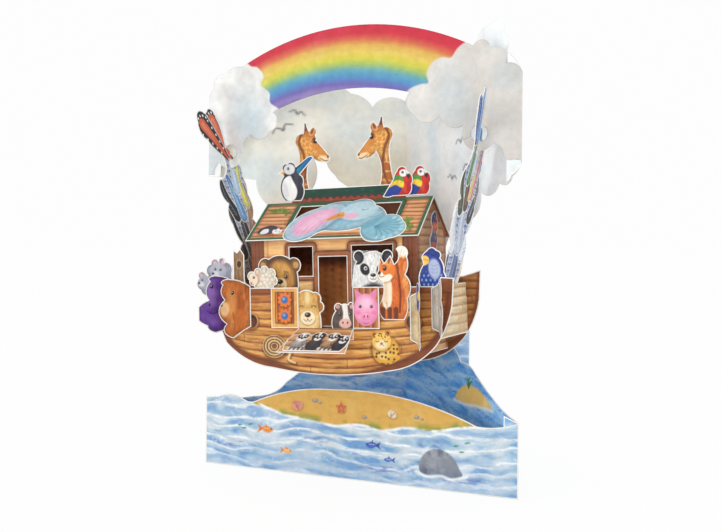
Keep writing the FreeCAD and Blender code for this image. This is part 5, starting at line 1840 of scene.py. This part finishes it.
# a spray of feathers on each arm: points from root to tip, width, main, dark and light colour; u runs
# backwards, v up from the fold
arms = {
    "left": (
        (((-2, -4), (-1, 8), (-3, 26)), 13, (118, 104, 104), (72, 60, 62), (206, 196, 194)),
        (((11, -4), (14, 8), (12, 24)), 8, (226, 208, 174), (150, 122, 86), (250, 242, 222)),
        (((-11, -4), (-15, 6), (-12, 22)), 8, (150, 132, 120), (86, 70, 62), (222, 212, 200)),
        (((11, 14), (14, 26), (11, 40)), 9, (168, 196, 226), (66, 100, 160), (240, 246, 250)),
        (((-9, 20), (-13, 34), (-15, 46)), 9, (34, 36, 46), (14, 16, 22), (176, 186, 204)),
        (((2, 18), (-1, 32), (-3, 46)), 10, (56, 54, 62), (24, 22, 28), (232, 232, 236)),
        (((8, 32), (9, 46), (7, 60)), 8.5, (186, 138, 104), (116, 74, 52), (238, 214, 190)),
        (((-7, 42), (-14, 52), (-17, 62)), 8, (26, 28, 36), (10, 10, 16), (150, 160, 182)),
        (((0, 42), (-4, 54), (-8, 64)), 7, (110, 172, 224), (40, 84, 160), (226, 240, 250)),
        (((7, 50), (4, 62), (6, 74)), 6, (244, 226, 52), (52, 116, 190), (255, 250, 190)),
        (((0, 58), (0, 70), (1, 80)), 6.5, (188, 216, 240), (110, 152, 196), (248, 251, 253)),
    ),
    "right": (
        (((0, -4), (1, 8), (2, 26)), 12, (78, 98, 150), (36, 46, 92), (206, 216, 234)),
        (((11, -4), (15, 8), (12, 22)), 8, (240, 228, 196), (160, 136, 96), (252, 248, 232)),
        (((-10, -4), (-14, 8), (-12, 22)), 8, (36, 48, 108), (14, 18, 50), (150, 176, 222)),
        (((9, 16), (14, 30), (13, 44)), 9, (226, 232, 240), (84, 104, 156), (252, 253, 254)),
        (((-9, 20), (-15, 34), (-14, 48)), 9, (238, 240, 244), (70, 84, 132), (254, 254, 254)),
        (((2, 20), (-2, 34), (1, 48)), 9, (196, 208, 226), (60, 78, 130), (248, 250, 252)),
        (((9, 36), (14, 48), (13, 60)), 8.5, (30, 32, 42), (12, 12, 18), (240, 240, 244)),
        (((-8, 40), (-14, 52), (-14, 60)), 8, (60, 66, 48), (26, 30, 22), (150, 160, 96)),
        (((-1, 42), (-4, 54), (-4, 68)), 7.5, (84, 58, 42), (40, 26, 20), (196, 156, 110)),
        (((5, 46), (7, 58), (9, 72)), 3.4, (236, 84, 96), (160, 36, 60), (252, 190, 190)),
        (((2, 46), (3, 60), (4, 74)), 3.2, (248, 214, 70), (178, 132, 30), (255, 244, 180)),
        (((-5, 54), (-3, 66), (-2, 80)), 4.5, (72, 130, 76), (30, 66, 44), (176, 210, 130)),
        (((1, 60), (1, 70), (-1, 82)), 4.5, (214, 228, 240), (110, 140, 186), (250, 252, 254)),
        (((-6, 76), (-9, 88), (-13, 100)), 6.6, (36, 84, 168), (12, 34, 92), (214, 232, 250)),
        (((-1, 76), (-4, 90), (-8, 105)), 6.4, (104, 166, 228), (26, 62, 134), (236, 246, 253)),
    ),
}


def feather(f, points, width, main, dark, light):
    # white edge, blade, slanting barbs either side of a pale shaft, a darker tip
    line = smoothLine(points)
    tip = width * 0.55
    f.line((247, 246, 243), 1, points, width + 1.3, 0.4, tip + 1.3)
    f.line(dark, 1, points, width, 0.35, tip)
    f.line(main, 1, points, width - 0.9, 0.7, tip - 0.9)
    blade = f.stroke(points, width - 0.5, 0.4, tip - 0.5)
    count = max(5, len(line) - 1)
    for k in range(count):
        x, y = line[min(k, len(line) - 2)]
        dx, dy = line[min(k, len(line) - 2) + 1] - (x, y)
        a = atan2(dy, dx)
        for side, tone in ((-1, dark), (1, light)):
            b = a + side * 0.9
            barb = [(x, y), (x + 0.62 * width * cos(b), y + 0.62 * width * sin(b))]
            f.lay(blade * f.stroke(barb, 0.42, 0.5) * 0.55, tone)
    f.lay(blade * f.oval(*line[-1], width * 0.45, soft=1.6) * 0.45, dark)
    f.line(light, 0.9, points, 0.55, 0.3, 0.25)


def spottedTail(f, points):
    # a tail feather that widens: pale rim, black band with white dots, coral middle
    f.line((232, 236, 238), 1, points, 4.5, 0.5, 18)
    f.line((36, 32, 38), 1, points, 3.6, 0.5, 16.6)
    line = smoothLine(points)
    for k in range(3, len(line), 2):
        x, y = line[k]
        dx, dy = line[k] - line[k - 1]
        reach = (3.6 + 13.0 * k / len(line)) / 2 - 1.2
        span = hypot(dx, dy)
        for side in (-1, 1):
            f.dab((250, 250, 250), 1, x - side * dy / span * reach, y + side * dx / span * reach, 0.7,
                  soft=0.35)
    for k in range(-3, 4):
        a = atan2(dy, dx) + 0.42 * k
        f.dab((250, 250, 250), 1, x + 7.1 * cos(a), y + 7.1 * sin(a), 0.75, soft=0.35)
    f.line((226, 102, 66), 1, points, 1.8, 0.5, 7.6)
    f.line((246, 158, 118), 0.8, [points[1], points[-1]], 0.8, 1.2, 3)
    f.line((150, 44, 34), 0.7, points, 0.4, 0.3)


def plumage(f, width, height, dark, light):
    # rows of small overlapping feathers: in each staggered cell, the distance to a round tip below
    row = np.floor(f.v / height)
    x = f.u / width + 0.5 * (row % 2) + 0.12 * noise(f.u, f.v, 9, 513)
    r = np.hypot((x - np.floor(x) - 0.5) * width, (f.v / height - row - 1) * height * 0.92)
    f.lay(step(0.52 * height, 1 * height, r) * 0.75, dark)
    f.lay(fall(0.2, 0.6, np.abs(r - 0.62 * height)) * 0.5, light)
    shaft = fall(0.1, 0.5, np.abs(x - np.floor(x) - 0.5) * width)
    f.lay(shaft * step(0.1, 0.5, 0.8 * height - r) * 0.5, light)


def paintArm(f, sprays, base, dark, light):
    # a bed of small feathers, then the spray of long ones
    f.u, f.v = f.u + swing["armForward"], f.v - f.v.min()
    f.fill(base)
    plumage(f, 3.6, 3.4, dark, light)
    f.grain(0.08, 3, 0.5, 80, 511)
    for spray in sprays:
        feather(f, *spray)
    f.mottle(0.05, 3, 527)


def paintLeftArm(f):
    paintArm(f, arms["left"], (150, 166, 190), (74, 82, 108), (224, 232, 240))
    spottedTail(f, [(2, 72), (-3, 85), (-10, 98)])
    spottedTail(f, [(-2, 76), (-11, 85), (-21, 94)])


def paintRightArm(f):
    paintArm(f, arms["right"], (134, 152, 192), (52, 66, 116), (226, 234, 244))
    dark = f.oval(11, 52, 6, 8, 10, 1.5)
    near, _ = cells(f.u, f.v, 1.6, 531)
    f.lay(dark * fall(0.25, 0.45, near) * 0.9, (250, 250, 250))


def paintEndPanel(f):
    # pale planks between the hull sheets
    planks(f, f.u, f.v, "endPanel", 551)
    f.cloud((206, 160, 108), 0.4, 14, 553, 0.2, 0.8)


def chooseArm(paint):
    # the tall arm above the hull, or the end panel between the hull sheets
    def choose(normal, middle):
        if middle[2] < swing["armFoot"]:
            return "foot", paintEndPanel
        return "right" if normal[0] > 0 else "left", paint
    return choose


piece("left_arm", "ark", "feather_print", grids["arm"], chooseArm(paintLeftArm))
piece("right_arm", "ark", "feather_print", grids["arm"], chooseArm(paintRightArm))
print("arms painted")


studio = {
    "lens": 47.43, "sensor": 36.0,
    "place": (0.2141, -0.4709, 0.1261),
    "azimuth": 24.0,          # degrees, the camera stands to the right of the front
    "roll": 0.61,
    "shiftUp": -0.0248,
    "worldStrength": 0.86,
    "white": 0.985,           # strength of the background where the camera sees it
    "aim": (0, 0, 0.13),      # the lamps point here
    "lamps": {                # place, size and power
        "front": ((0.3, -1.5, 0.2), 0.6, 4.6),
        "left": ((-1.15, -0.85, 0.4), 0.8, 4.0),
        "right": ((1.25, -0.75, 0.35), 0.8, 3.6),
    },
    "floorRadius": 30, "floorSides": 96, "floorDrop": 0.0002,
    "floorTone": (0.94, 0.94, 0.94, 1),
    "floorGlow": 0.93,        # share of plain white in what the camera sees of the floor
}


def stageCamera():
    # level, turned to the right about z, then rolled
    data = bpy.data.cameras.new("camera")
    data.lens, data.sensor_width = studio["lens"], studio["sensor"]
    data.shift_y = studio["shiftUp"]
    data.clip_start = 0.01
    camera = addObject("camera", data)
    level = Matrix.Rotation(radians(90), 4, "X")
    turn = Matrix.Rotation(radians(studio["azimuth"]), 4, "Z")
    roll = Matrix.Rotation(radians(studio["roll"]), 4, "Z")
    camera.matrix_world = Matrix.Translation(studio["place"]) @ turn @ level @ roll
    bpy.context.scene.camera = camera


def lamp(name, place, size, power):
    data = bpy.data.lights.new(name, "AREA")
    data.shape, data.size, data.energy = "DISK", size, power
    way = Vector(studio["aim"]) - Vector(place)
    facing = way.to_track_quat("-Z", "Y").to_matrix().to_4x4()
    addObject(name, data).matrix_world = Matrix.Translation(place) @ facing


def whiteToCamera(tree):
    # 1 for rays that show the background itself: seen directly, in gloss or through glass
    path = addNode(tree, "LightPath").outputs
    seen = addMath(tree, "MAXIMUM", path["Is Camera Ray"], path["Is Glossy Ray"])
    return addMath(tree, "MAXIMUM", seen, path["Is Transmission Ray"])


def stageWorld():
    world = bpy.data.worlds.new("studio")
    world.use_nodes = True
    bpy.context.scene.world = world
    tree = world.node_tree
    low, high = studio["worldStrength"], studio["white"]
    level = addNode(tree, "MapRange", {"To Min": low, "To Max": high, "Value": whiteToCamera(tree)})
    feed(tree, tree.nodes["Background"], {"Color": (1, 1, 1, 1), "Strength": level.outputs["Result"]})


def stageFloor():
    # pale disc: plain diffuse, lifted towards white where the camera sees it, so the shadow stays faint
    mesh = bpy.data.meshes.new("floor")
    sides = studio["floorSides"]
    ring = np.linspace(0, 2 * pi, sides, endpoint=False)
    rim = np.column_stack((studio["floorRadius"] * np.cos(ring), studio["floorRadius"] * np.sin(ring),
                           np.full(sides, -studio["floorDrop"])))
    mesh.from_pydata(rim.tolist(), [], [list(range(sides))])
    material, tree, shader = newMaterial("floor")
    tree.nodes.remove(shader)
    plain = addNode(tree, "BsdfDiffuse", {"Color": studio["floorTone"]})
    glow = addNode(tree, "Emission", {"Color": (1, 1, 1, 1)})
    share = addMath(tree, "MULTIPLY", whiteToCamera(tree), studio["floorGlow"])
    blend = addNode(tree, "MixShader", {"Fac": share, 1: plain.outputs[0], 2: glow.outputs[0]})
    feed(tree, tree.nodes["Material Output"], {"Surface": blend.outputs[0]})
    mesh.materials.append(material)
    floor = addObject("floor", mesh)


stageCamera()
stageWorld()
stageFloor()
for name, values in studio["lamps"].items():
    lamp(name, *values)
bpy.context.scene.view_settings.view_transform = "Standard"
print("stage set")
